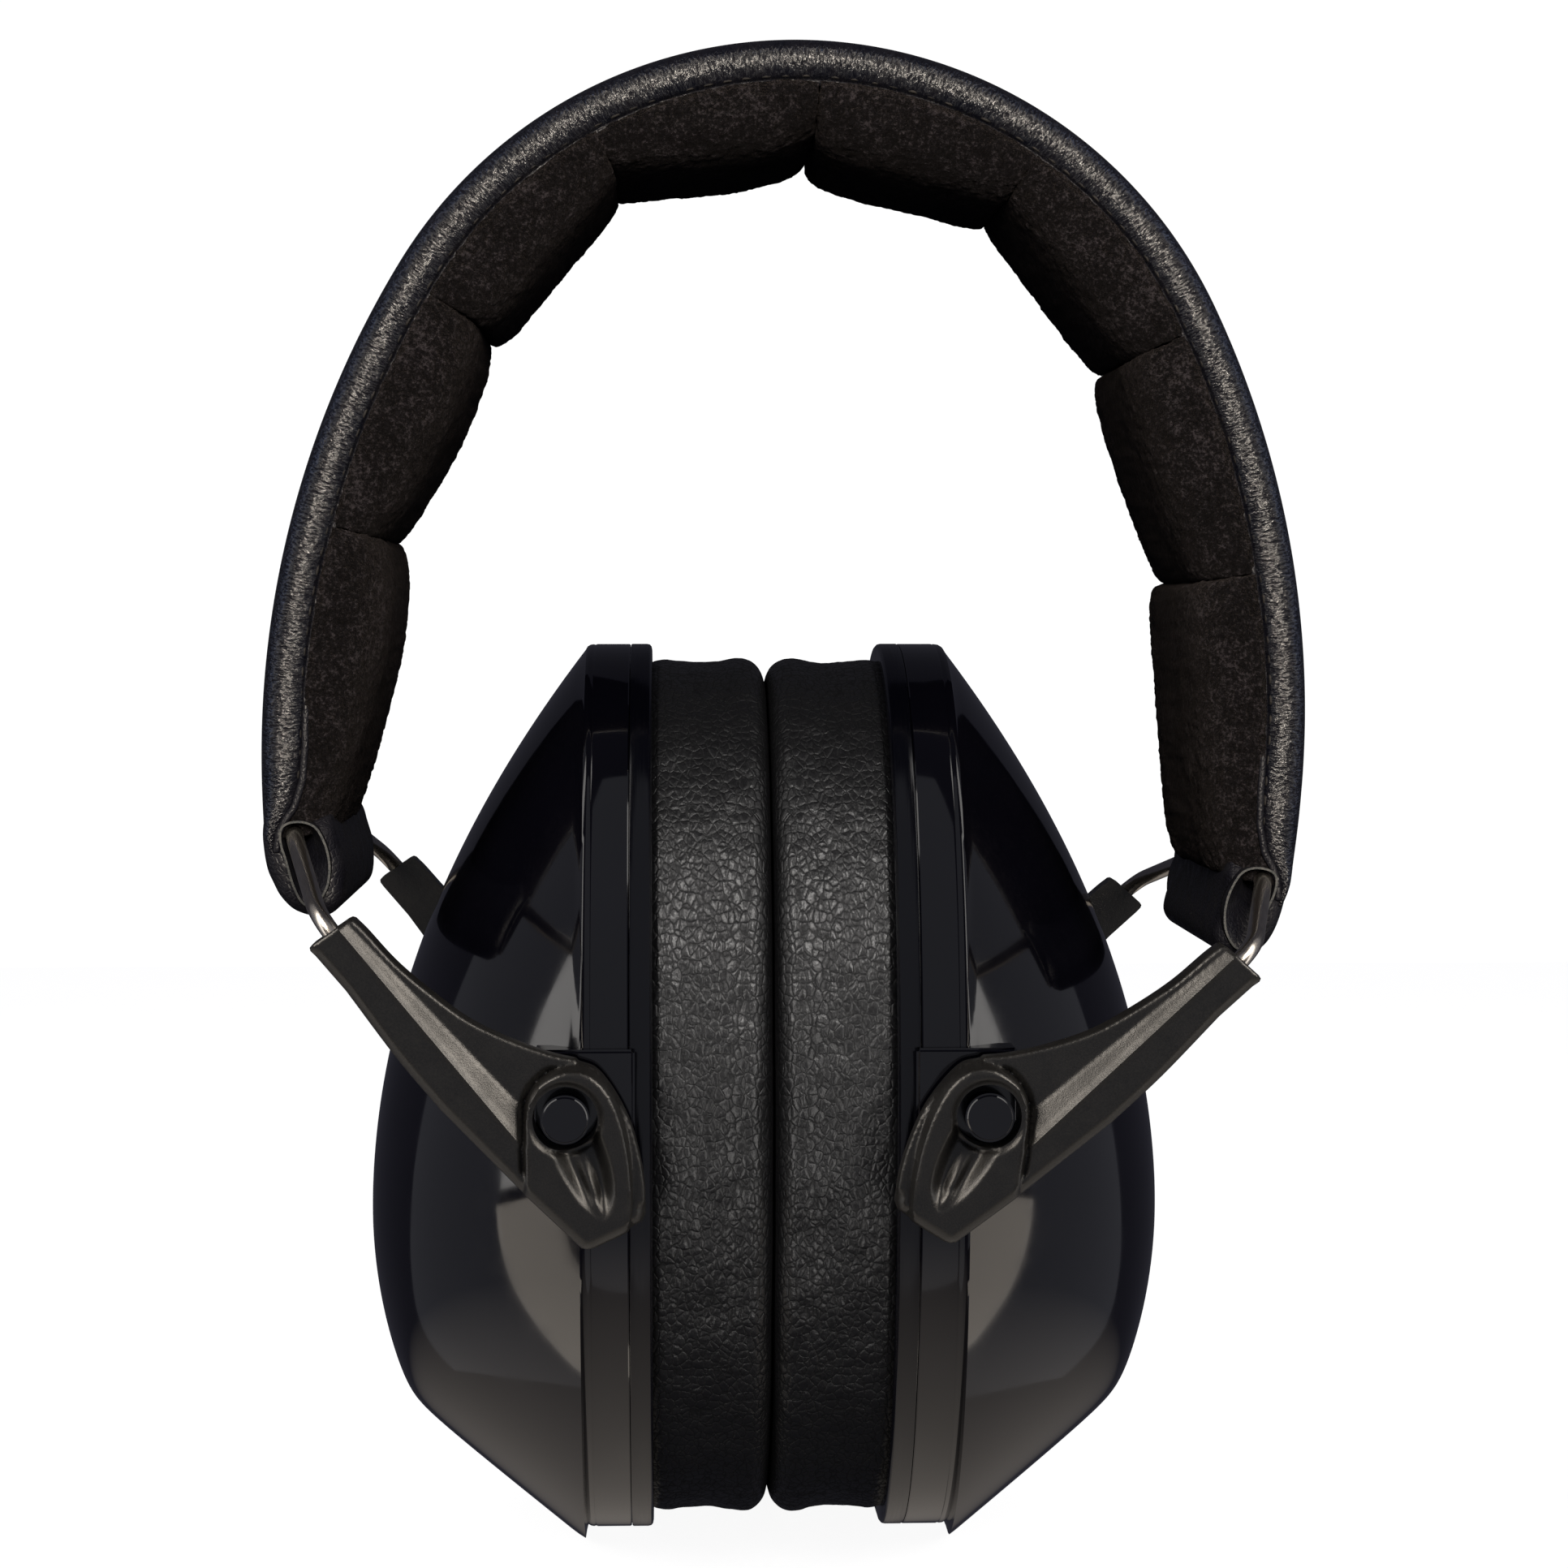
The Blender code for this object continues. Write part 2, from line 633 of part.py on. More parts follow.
def leaf_outline(sign):
    """The loop's leaf-shaped opening, from the side."""
    top = Vector((TAB_START + LEAF_TOP[0], LEAF_TOP[1]))
    bottom = Vector((TAB_END - LEAF_TIP[0], LEAF_TIP[1]))
    side = Vector((-(bottom - top).y, (bottom - top).x)).normalized()
    points = []
    for i in range(LEAF_POINTS):
        a = 2 * math.pi * i / LEAF_POINTS
        share = (1 - math.cos(a)) / 2
        bulge = LEAF_BULGE * math.sin(a) * (1.25 - 0.5 * share)
        along, inset = top + (bottom - top) * share + side * bulge
        points.append(place_on_band(sign, along, inset))
    return points


def place_on_band(sign, along, inset):
    place = arch_point(sign * along, inset)
    return place.x, place.z


def end_tab(side, sign, group):
    """The leather loop at the band's end that the bail's crossbar hangs in."""
    name = side + "_end_tab"
    width = 2 * (BAND_HALF_WIDTH - TAB_SIDE)
    mesh = plate([tab_outline(sign), leaf_outline(sign)], width, name, edge=TAB_EDGE)
    mesh.transform(Matrix.Rotation(math.radians(90), 4, "X"))
    return finish(mesh, name, leatherette("tab_" + side), group)


def headband(group):
    """Cover, spring strip and lining in a crown and two flanks, and the end loops."""
    split = PAD_NOTCHES[SEGMENT_SPLIT]
    half = GAP / 2
    spans = {"crown": (-split + half, split - half)}
    spans["left"] = (-COVER_END, -split - half)
    spans["right"] = (split + half, COVER_END)
    for part, (start, end) in spans.items():
        band_piece(part + "_cover", start, end, cover_section(), leatherette("cover_" + part), group)
        band_piece(part + "_spring_strip", start + STRIP_SHORTER, end - STRIP_SHORTER,
                   strip_section(), steel("strip_" + part), group)
    notches = [-n for n in reversed(PAD_NOTCHES[1:])] + list(PAD_NOTCHES)
    for number, (start, end) in enumerate(zip(notches, notches[1:]), 1):
        first = max(start + half, -COVER_END)
        last = min(end - half, COVER_END)
        lining_pad(number, first, last, group)
    for side, sign in (("left", -1), ("right", 1)):
        end_tab(side, sign, group)


def main():
    clear_scene()
    parts = collection("earmuff_hearing_protector")
    cutters = collection("cutters")
    headband(parts)
    for side, sign in (("left", -1), ("right", 1)):
        bail(side, sign, parts)
        for end, way in (("front", -1), ("rear", 1)):
            arm(side, end, sign, way, parts, cutters)
        cup_shell(side, sign, parts, cutters)
        seat_ring(side, sign, parts)
        cushion(side, sign, parts)
        cushion_foam(side, sign, parts)
        absorber(side, sign, parts)


main()
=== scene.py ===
"""The looks of the earmuff hearing protector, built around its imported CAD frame.

Lengths are in millimetres until a mesh is made; Blender's own units are metres.
"""
import json
import math

import bmesh
import bpy
import numpy as np
from mathutils import Matrix, Vector, noise
from mathutils.geometry import delaunay_2d_cdt
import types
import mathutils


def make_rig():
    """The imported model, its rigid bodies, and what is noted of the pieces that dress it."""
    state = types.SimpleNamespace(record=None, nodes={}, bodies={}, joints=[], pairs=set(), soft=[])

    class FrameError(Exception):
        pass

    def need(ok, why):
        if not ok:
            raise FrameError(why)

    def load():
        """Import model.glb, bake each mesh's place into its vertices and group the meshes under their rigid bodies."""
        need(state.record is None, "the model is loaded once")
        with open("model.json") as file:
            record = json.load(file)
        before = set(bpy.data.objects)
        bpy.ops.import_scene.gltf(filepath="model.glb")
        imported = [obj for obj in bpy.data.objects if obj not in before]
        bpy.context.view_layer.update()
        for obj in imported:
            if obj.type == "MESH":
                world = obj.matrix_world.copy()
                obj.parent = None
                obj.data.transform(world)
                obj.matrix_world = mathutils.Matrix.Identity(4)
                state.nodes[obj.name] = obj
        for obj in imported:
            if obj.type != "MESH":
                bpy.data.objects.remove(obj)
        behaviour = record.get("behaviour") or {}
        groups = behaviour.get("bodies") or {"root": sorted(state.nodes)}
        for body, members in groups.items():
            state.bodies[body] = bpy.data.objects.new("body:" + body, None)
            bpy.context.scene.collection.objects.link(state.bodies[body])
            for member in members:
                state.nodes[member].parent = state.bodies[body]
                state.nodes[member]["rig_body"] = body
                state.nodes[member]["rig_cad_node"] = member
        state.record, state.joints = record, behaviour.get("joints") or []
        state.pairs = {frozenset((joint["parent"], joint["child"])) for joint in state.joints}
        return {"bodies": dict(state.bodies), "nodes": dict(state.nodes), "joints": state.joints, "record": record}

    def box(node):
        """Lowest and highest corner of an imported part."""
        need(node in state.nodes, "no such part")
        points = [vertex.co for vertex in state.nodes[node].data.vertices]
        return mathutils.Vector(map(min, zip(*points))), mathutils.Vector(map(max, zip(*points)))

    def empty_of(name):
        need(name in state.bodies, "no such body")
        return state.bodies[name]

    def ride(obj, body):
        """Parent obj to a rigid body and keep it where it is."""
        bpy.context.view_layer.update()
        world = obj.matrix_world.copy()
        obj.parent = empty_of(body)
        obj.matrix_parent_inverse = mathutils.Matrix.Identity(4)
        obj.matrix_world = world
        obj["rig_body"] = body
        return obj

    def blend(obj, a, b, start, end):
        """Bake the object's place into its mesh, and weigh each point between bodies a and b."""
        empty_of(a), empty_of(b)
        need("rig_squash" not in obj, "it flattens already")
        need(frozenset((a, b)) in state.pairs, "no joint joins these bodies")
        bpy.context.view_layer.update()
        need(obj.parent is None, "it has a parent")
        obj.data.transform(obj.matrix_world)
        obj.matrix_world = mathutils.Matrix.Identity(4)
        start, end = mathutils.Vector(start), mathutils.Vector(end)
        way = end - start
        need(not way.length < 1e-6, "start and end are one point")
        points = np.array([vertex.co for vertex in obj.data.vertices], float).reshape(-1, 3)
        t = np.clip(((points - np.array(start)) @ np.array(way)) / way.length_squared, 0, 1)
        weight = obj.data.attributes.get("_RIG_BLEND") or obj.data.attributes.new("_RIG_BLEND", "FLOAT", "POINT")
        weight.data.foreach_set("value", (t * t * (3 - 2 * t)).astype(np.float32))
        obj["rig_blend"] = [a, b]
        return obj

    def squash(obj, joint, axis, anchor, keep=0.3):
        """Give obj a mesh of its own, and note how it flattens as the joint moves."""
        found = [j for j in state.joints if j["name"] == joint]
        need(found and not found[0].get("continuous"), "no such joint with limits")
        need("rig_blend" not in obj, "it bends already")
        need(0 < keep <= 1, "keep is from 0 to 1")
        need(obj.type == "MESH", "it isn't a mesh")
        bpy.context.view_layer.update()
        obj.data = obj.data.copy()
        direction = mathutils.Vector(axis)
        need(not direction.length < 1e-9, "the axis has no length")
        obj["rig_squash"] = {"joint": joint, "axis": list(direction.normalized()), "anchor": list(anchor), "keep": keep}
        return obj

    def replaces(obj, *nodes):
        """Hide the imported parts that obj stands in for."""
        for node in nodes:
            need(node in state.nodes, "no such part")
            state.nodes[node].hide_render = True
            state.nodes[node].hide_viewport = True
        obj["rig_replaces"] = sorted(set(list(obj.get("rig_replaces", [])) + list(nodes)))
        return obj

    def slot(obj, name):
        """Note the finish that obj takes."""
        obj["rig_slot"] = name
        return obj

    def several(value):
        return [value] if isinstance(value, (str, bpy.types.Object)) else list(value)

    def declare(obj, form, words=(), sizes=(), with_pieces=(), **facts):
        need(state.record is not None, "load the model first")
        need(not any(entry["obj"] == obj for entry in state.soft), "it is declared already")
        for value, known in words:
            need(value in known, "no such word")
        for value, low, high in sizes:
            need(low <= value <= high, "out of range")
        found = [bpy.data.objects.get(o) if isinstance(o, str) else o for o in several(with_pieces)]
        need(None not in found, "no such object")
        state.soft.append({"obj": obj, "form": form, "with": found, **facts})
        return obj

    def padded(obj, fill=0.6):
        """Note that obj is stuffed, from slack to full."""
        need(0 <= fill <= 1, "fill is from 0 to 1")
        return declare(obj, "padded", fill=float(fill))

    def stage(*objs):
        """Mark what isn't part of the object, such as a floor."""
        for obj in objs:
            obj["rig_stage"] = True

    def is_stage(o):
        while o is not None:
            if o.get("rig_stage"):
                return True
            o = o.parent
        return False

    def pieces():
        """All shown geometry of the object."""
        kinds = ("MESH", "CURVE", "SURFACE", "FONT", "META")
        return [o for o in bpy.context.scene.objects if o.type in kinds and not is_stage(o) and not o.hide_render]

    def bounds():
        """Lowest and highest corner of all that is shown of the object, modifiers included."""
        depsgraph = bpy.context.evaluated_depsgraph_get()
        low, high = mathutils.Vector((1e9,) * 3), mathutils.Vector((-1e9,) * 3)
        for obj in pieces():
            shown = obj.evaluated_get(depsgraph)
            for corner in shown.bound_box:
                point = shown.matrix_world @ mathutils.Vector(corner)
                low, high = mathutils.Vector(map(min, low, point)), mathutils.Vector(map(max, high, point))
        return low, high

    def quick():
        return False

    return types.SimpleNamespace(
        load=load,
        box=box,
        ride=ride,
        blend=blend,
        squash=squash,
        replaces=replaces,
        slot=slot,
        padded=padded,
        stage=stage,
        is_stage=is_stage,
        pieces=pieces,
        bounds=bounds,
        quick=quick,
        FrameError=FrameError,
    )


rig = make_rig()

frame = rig.load()
CAD_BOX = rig.bounds()

MM = 0.001
SIDES = (("left", -1), ("right", 1))
JOINTS = {joint["name"]: joint for joint in frame["joints"]}


def joint_place(name):
    return Vector(JOINTS[name]["pos_m"]) / MM


# ---- driving sizes, read from the frame where it holds them -----------------

PINS = {side: joint_place(side + "_cup_tilt") for side, _ in SIDES}
CROSSBARS = {side: joint_place(side + "_bail_swing") for side, _ in SIDES}
SOCKETS = {side: Vector(JOINTS[side + "_arm_slide"]["axis"]).normalized() for side, _ in SIDES}
CUP_PLANE_X = (PINS["left"].x + PINS["right"].x) / 2
CUP_HEIGHT = (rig.box("left_seat_ring")[1].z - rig.box("left_seat_ring")[0].z) / MM + 0.5
CUP_HALF_WIDTH = 39.0
CUP_FLAT = 0.6
OVAL_POWER = 2.15
RING_FACE = CUP_PLANE_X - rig.box("left_seat_ring")[1].x / MM
RING_BACK = CUP_PLANE_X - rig.box("left_seat_ring")[0].x / MM
SHELL_RIM = 19.9
DOME_DEPTH = 24.7
DOME_APEX_Z = 35.3
DOME_FALL_BELOW = 52.2
CHIN_SLOPE = 1.285
CHIN_START = (0.3, 3.7)
SHELL_WALL = 2.2
DOME_RINGS = 60
CUSHION_INSET = 1.65
CUSHION_WIDTH = 16.0
PIN_RADIUS = 2.5
PIN_END_Y = 46.2
TRUNNION_SIZE = (10.5, 4.6, 15.3)
TRUNNION_FACE_Y = 39.9
ARM_Y = 43.4
ARM_FRONT = 45.9
ARM_BACK = 40.9
ARM_MOUTH = (-23.35, 18.45)
WIRE_RADIUS = 0.95

ARCH_TOP_Z = 165.0
ARCH_CROWN_RADIUS = 50.6
ARCH_CROWN_ANGLE = math.radians(61.4)
ARCH_FLANK_RADIUS = 103.0
ARCH_LEAN = math.radians(-2.9)
ARCH_FOOT = (1.26, 77.3)
BAND_HALF_WIDTH = 20.4
COVER_THICK = 4.7
PAD_TOP = 4.9
# each notch of the lining, from the left end: place along the band, and depth
PAD_NOTCHES = ((-119.2, 7.6), (-83.9, 9.75), (-55.5, 10.3), (-27.7, 9.1), (0.0, 9.3),
               (27.7, 9.75), (55.5, 10.3), (83.9, 10.2), (119.2, 7.9))
# each pad's fullest place along the band, and its depth there
PAD_CRESTS = ((-95.5, 12.7), (-67.0, 13.1), (-47.0, 12.95), (-10.5, 12.6),
              (9.5, 13.15), (44.0, 12.25), (67.0, 12.9), (92.5, 12.6))
TAB_START = 115.9
COVER_END = 121.4
STITCH_PITCH = 2.3
STITCH_LENGTH = 1.5
BEND_START = 22.0
BEND_END = 88.0
CLOTH_STIFFNESS = 8.0


# ---- meshes ----------------------------------------------------------------

def placed(name, data):
    """A new object in the scene, made from a mesh, a light or a camera."""
    made = bpy.data.objects.new(name, data)
    bpy.context.scene.collection.objects.link(made)
    return made


def from_bmesh(name, bm, look):
    mesh = bpy.data.meshes.new(name)
    bm.to_mesh(mesh)
    bm.free()
    mesh.materials.append(look)
    return placed(name, mesh)


def object_from(name, vertices, faces, look, uvs=None):
    """An object from points in millimetres; uvs holds one pair for each point."""
    mesh = bpy.data.meshes.new(name)
    mesh.from_pydata([tuple(v) for v in np.asarray(vertices, float) * MM], [], faces)
    if uvs is not None:
        layer = mesh.uv_layers.new(name="UVMap")
        index = np.zeros(len(mesh.loops), np.int32)
        mesh.loops.foreach_get("vertex_index", index)
        layer.data.foreach_set("uv", np.asarray(uvs, np.float32)[index].ravel())
    mesh.materials.append(look)
    mesh.shade_smooth()
    return placed(name, mesh)


def grid_faces(rows, columns, wrap_rows=False):
    """Quads over a grid of rows by columns, with flat caps on open row ends."""
    faces = []
    for r in range(rows if wrap_rows else rows - 1):
        low = r * columns
        high = ((r + 1) % rows) * columns
        for c in range(columns):
            d = (c + 1) % columns
            faces.append((low + c, low + d, high + d, high + c))
    if not wrap_rows:
        faces.append(tuple(range(columns - 1, -1, -1)))
        faces.append(tuple((rows - 1) * columns + c for c in range(columns)))
    return faces


def grid_uvs(points):
    """UVs that measure decimetres along and across a grid of points."""
    along = np.linalg.norm(np.diff(points, axis=0), axis=2).mean(1)
    across = np.linalg.norm(np.diff(points, axis=1), axis=2).mean(0)
    u = np.concatenate([[0], np.cumsum(along)]) / 100
    v = np.concatenate([[0], np.cumsum(across)]) / 100
    return np.stack(np.meshgrid(u, v, indexing="ij"), -1).reshape(-1, 2)


def face_outwards(made):
    bm = bmesh.new()
    bm.from_mesh(made.data)
    bmesh.ops.recalc_face_normals(bm, faces=bm.faces)
    bm.to_mesh(made.data)
    bm.free()
    return made


def grid_object(name, points, look, wrap_rows=False):
    faces = grid_faces(*points.shape[:2], wrap_rows)
    return face_outwards(object_from(name, points.reshape(-1, 3), faces, look, grid_uvs(points)))


def apply_modifiers(made):
    """Bakes an object's modifiers into its mesh."""
    graph = bpy.context.evaluated_depsgraph_get()
    mesh = bpy.data.meshes.new_from_object(made.evaluated_get(graph))
    made.modifiers.clear()
    made.data = mesh
    return made


def boolean(made, other, operation):
    step = made.modifiers.new("cut", "BOOLEAN")
    step.operation = operation
    step.object = other
    step.solver = "EXACT"
    apply_modifiers(made)
    bpy.data.objects.remove(other, do_unlink=True)
    return made


def sharpen(made, degrees):
    made.data.shade_smooth()
    made.data.set_sharp_from_angle(angle=math.radians(degrees))
    return made


def cylinder(name, start, end, radius, look, sides=48, bevel=0.0):
    axis = Vector(end) - Vector(start)
    bm = bmesh.new()
    bmesh.ops.create_cone(bm, cap_ends=True, segments=sides, radius1=radius * MM,
                          radius2=radius * MM, depth=axis.length * MM)
    if bevel:
        rims = [e for e in bm.edges if abs(e.verts[0].co.z - e.verts[1].co.z) < 1e-7]
        bmesh.ops.bevel(bm, geom=rims, offset=bevel * MM, segments=3, affect="EDGES")
    turn = Vector((0, 0, 1)).rotation_difference(axis).to_matrix().to_4x4()
    middle = (Vector(start) + Vector(end)) / 2 * MM
    bmesh.ops.transform(bm, matrix=Matrix.Translation(middle) @ turn, verts=bm.verts)
    return sharpen(from_bmesh(name, bm, look), 35)


def tube(name, path, radius, look, sides):
    """A round tube with domed ends along a list of points."""
    path = [Vector(p) for p in path]
    tangents = []
    for i in range(len(path)):
        tangents.append((path[min(i + 1, len(path) - 1)] - path[max(i - 1, 0)]).normalized())
    side = tangents[0].orthogonal().normalized()
    rings = []
    for i, (point, tangent) in enumerate(zip(path, tangents)):
        side = (side - tangent * side.dot(tangent)).normalized()
        other = tangent.cross(side)
        for shrink, push in end_steps(i, len(path)):
            centre = point + tangent * push * radius
            ring = []
            for k in range(sides):
                a = 2 * math.pi * k / sides
                ring.append(centre + (side * math.cos(a) + other * math.sin(a)) * radius * shrink)
            rings.append(ring)
    return grid_object(name, np.array([[tuple(p) for p in ring] for ring in rings]), look)


def end_steps(i, count):
    """Ring shrink and push that round off a tube's two ends."""
    if i == 0:
        return ((0.45, -0.35), (0.85, -0.15), (1.0, 0.0))
    if i == count - 1:
        return ((1.0, 0.0), (0.85, 0.15), (0.45, 0.35))
    return ((1.0, 0.0),)


def smooth_path(points, steps):
    """A Catmull-Rom curve through points."""
    pts = [Vector(p) for p in points]
    pts = [pts[0] * 2 - pts[1]] + pts + [pts[-1] * 2 - pts[-2]]
    out = []
    for a, b, c, d in zip(pts, pts[1:], pts[2:], pts[3:]):
        for k in range(steps):
            t = k / steps
            out.append(0.5 * (2 * b + (c - a) * t + (2 * a - 5 * b + 4 * c - d) * t * t
                              + (3 * b - a - 3 * c + d) * t ** 3))
    out.append(pts[-2])
    return out


def rounded_path(path, radius, steps):
    """A polyline with its corners replaced by quadratic bends."""
    out = [Vector(path[0])]
    for before, corner, after in zip(path, path[1:], path[2:]):
        corner = Vector(corner)
        into = corner + (Vector(before) - corner).normalized() * radius
        away = corner + (Vector(after) - corner).normalized() * radius
        for i in range(steps + 1):
            t = i / steps
            out.append(into * (1 - t) ** 2 + corner * 2 * t * (1 - t) + away * t * t)
    out.append(Vector(path[-1]))
    return out


def ripple(points, scale, seed):
    """Smooth noise from -1 to 1 at each point; scale is the size of a ripple."""
    offset = Vector((seed * 17.3, seed * 5.1, seed * 9.7))
    flat = np.asarray(points, float).reshape(-1, 3)
    return np.array([noise.noise(Vector(p) / scale + offset) for p in flat])


def settle(made, pinned, pressure, frames, cap):
    """Puffs a closed mesh up as cloth; pinned is each point's hold from 0 to 1.

    A point moves at most cap millimetres. The result is applied to the mesh.
    """
    rest = np.array([v.co for v in made.data.vertices])
    group = made.vertex_groups.new(name="hold")
    for index, hold in enumerate(pinned):
        if hold > 0:
            group.add([index], float(hold), "REPLACE")
    cloth = made.modifiers.new("Cloth", "CLOTH")
    settings = cloth.settings
    settings.quality = 6
    settings.mass = 0.15
    settings.tension_stiffness = CLOTH_STIFFNESS
    settings.compression_stiffness = CLOTH_STIFFNESS
    settings.shear_stiffness = CLOTH_STIFFNESS / 2
    settings.bending_stiffness = 0.3
    settings.use_pressure = True
    settings.uniform_pressure_force = pressure
    settings.effector_weights.gravity = 0.0
    settings.vertex_group_mass = "hold"
    cloth.collision_settings.use_collision = False
    scene = bpy.context.scene
    cloth.point_cache.frame_start = 1
    cloth.point_cache.frame_end = frames
    for number in range(1, frames + 1):
        scene.frame_set(number)
    apply_modifiers(made)
    scene.frame_set(1)
    moved = np.array([v.co for v in made.data.vertices]) - rest
    length = np.linalg.norm(moved, axis=1, keepdims=True)
    limit = np.minimum(1.0, cap * MM / np.maximum(length, 1e-9))
    made.data.vertices.foreach_set("co", (rest + moved * limit).astype(np.float32).ravel())
    made.data.update()
    made.vertex_groups.clear()
    return made


def roughen(made, amount, scale, seed, mask=None):
    """Moves each point along its normal by fine noise; amount is in millimetres."""
    co = np.array([v.co for v in made.data.vertices])
    normals = np.array([v.normal for v in made.data.vertices])
    push = ripple(co / MM, scale, seed) * amount * MM
    if mask is not None:
        push = push * mask
    made.data.vertices.foreach_set("co", (co + normals * push[:, None]).astype(np.float32).ravel())
    made.data.update()
    return made


# ---- materials ---------------------------------------------------------------

class Look:
    """A small helper that wires one procedural Principled material."""

    def __init__(self, name, colour, roughness, **sockets):
        self.material = bpy.data.materials.new(name)
        self.material.use_nodes = True
        self.nodes = self.material.node_tree.nodes
        self.links = self.material.node_tree.links
        self.shader = self.nodes["Principled BSDF"]
        self.shader.inputs["Base Color"].default_value = (*colour, 1)
        self.shader.inputs["Roughness"].default_value = roughness
        for socket, value in sockets.items():
            self.shader.inputs[socket.replace("_", " ")].default_value = value
        self.place = self.nodes.new("ShaderNodeTexCoord")
        self.height = None

    def add(self, kind, **settings):
        node = self.nodes.new(kind)
        for key, value in settings.items():
            if hasattr(node, key):
                setattr(node, key, value)
            else:
                node.inputs[key.replace("_", " ")].default_value = value
        return node

    def link(self, source, target):
        self.links.new(source, target)

    def stretched(self, scale, uv=False):
        """Texture coordinates multiplied by scale along each axis."""
        mapping = self.add("ShaderNodeMapping")
        mapping.inputs["Scale"].default_value = scale
        self.link(self.place.outputs["UV" if uv else "Object"], mapping.inputs["Vector"])
        return mapping.outputs["Vector"]

    def noise(self, size, detail=3.0, stretch=(1, 1, 1), uv=False, roughness=0.5):
        """Noise whose features are about size millimetres across."""
        unit = 100.0 if uv else 1 / MM
        tex = self.add("ShaderNodeTexNoise", Detail=detail, Roughness=roughness)
        tex.inputs["Scale"].default_value = 1.0
        scale = tuple(unit * s / size for s in stretch)
        self.link(self.stretched(scale, uv), tex.inputs["Vector"])
        return tex.outputs["Fac"]

    def cells(self, size, stretch=(1, 1, 1), uv=False, warp=0.35, feature="DISTANCE_TO_EDGE"):
        """Leather-like cells about size millimetres across, with warped edges."""
        unit = 100.0 if uv else 1 / MM
        scale = tuple(unit * s / size for s in stretch)
        place = self.stretched(scale, uv)
        wobble = self.add("ShaderNodeTexNoise", Detail=2.0)
        wobble.inputs["Scale"].default_value = 1.3
        self.link(place, wobble.inputs["Vector"])
        mix = self.add("ShaderNodeVectorMath", operation="MULTIPLY_ADD")
        mix.inputs[1].default_value = (warp, warp, warp)
        self.link(wobble.outputs["Color"], mix.inputs[0])
        self.link(place, mix.inputs[2])
        tex = self.add("ShaderNodeTexVoronoi", feature=feature)
        tex.inputs["Scale"].default_value = 1.0
        self.link(mix.outputs["Vector"], tex.inputs["Vector"])
        return tex.outputs["Distance"]

    def ramp(self, source, stops):
        """A colour ramp; stops are (position, colour)."""
        node = self.add("ShaderNodeValToRGB")
        element = node.color_ramp.elements
        while len(element) < len(stops):
            element.new(0.5)
        for spot, (position, colour) in zip(element, stops):
            spot.position = position
            if not hasattr(colour, "__len__"):
                colour = (colour, colour, colour)
            spot.color = (*colour, 1)
        self.link(source, node.inputs["Fac"])
        return node.outputs["Color"]

    def bump(self, source, depth, strength=1.0):
        """Adds a bump layer; depth is its height in millimetres."""
        node = self.add("ShaderNodeBump")
        node.inputs["Strength"].default_value = strength
        node.inputs["Distance"].default_value = depth * MM
        self.link(source, node.inputs["Height"])
        if self.height is not None:
            self.link(self.height, node.inputs["Normal"])
        self.height = node.outputs["Normal"]
        self.link(self.height, self.shader.inputs["Normal"])

    def colour(self, source):
        self.link(source, self.shader.inputs["Base Color"])

    def rough(self, source):
        self.link(source, self.shader.inputs["Roughness"])

    def specular(self, source):
        self.link(source, self.shader.inputs["Specular IOR Level"])


def leather_cover():
    look = Look("cover_leatherette", (0.004, 0.004, 0.006), 0.3)
    grain = look.noise(0.44, 3.0, (1.6, 0.5, 1), uv=True, roughness=0.6)
    wrinkle = look.noise(1.6, 4.0, (1.8, 0.4, 1), uv=True, roughness=0.6)
    look.bump(look.noise(9.0, 2.0, uv=True), 0.25)
    look.bump(wrinkle, 0.20)
    look.bump(grain, 0.30)
    look.rough(look.ramp(grain, [(0.3, 0.36), (0.65, 0.20)]))
    look.specular(look.ramp(grain, [(0.40, 0.08), (0.60, 0.85)]))
    tone = look.noise(3.0, 4.0, uv=True)
    look.colour(look.ramp(tone, [(0.32, (0.0016, 0.0019, 0.0040)), (0.68, (0.0040, 0.0038, 0.0055))]))
    return look.material


def leather_cushion():
    look = Look("cushion_leatherette", (0.004, 0.004, 0.004), 0.4)
    pebble = look.cells(0.82, (0.85, 1.0, 1), uv=True, warp=0.42)
    valley = look.ramp(pebble, [(0.0, 0.0), (0.12, 0.55), (0.30, 0.9), (0.5, 1.0)])
    look.bump(look.noise(7.0, 3.0, uv=True), 0.4)
    look.bump(valley, 0.065)
    look.bump(look.noise(0.6, 3.0, uv=True, roughness=0.6), 0.08)
    look.rough(look.ramp(valley, [(0.0, 0.50), (0.8, 0.34)]))
    look.specular(look.ramp(valley, [(0.0, 0.2), (0.6, 0.46)]))
    # the grain's valleys are coloured darker than its tops: painted shade in the creases between the pebbles
    look.colour(look.ramp(valley, [(0.0, (0.0020, 0.0020, 0.0023)), (0.6, (0.0040, 0.0039, 0.0043))]))
    return look.material


def leather_tab():
    look = Look("tab_leatherette", (0.003, 0.003, 0.005), 0.45, Specular_IOR_Level=0.22)
    cells = look.ramp(look.cells(0.6, (1, 1, 1)), [(0.0, 0.0), (0.2, 0.8), (0.5, 1.0)])
    look.bump(look.noise(4.0, 4.0), 0.3)
    look.bump(cells, 0.05)
    look.rough(look.ramp(look.noise(2.0, 4.0), [(0.3, 0.6), (0.7, 0.38)]))
    return look.material


def raw_edge():
    look = Look("raw_leather_edge", (0.03, 0.03, 0.03), 0.85, Sheen_Weight=0.15)
    fibre = look.noise(0.25, 5.0, (1, 0.4, 1), roughness=0.7)
    look.colour(look.ramp(fibre, [(0.35, (0.005, 0.008, 0.010)), (0.66, (0.048, 0.047, 0.044))]))
    look.bump(fibre, 0.12)
    return look.material


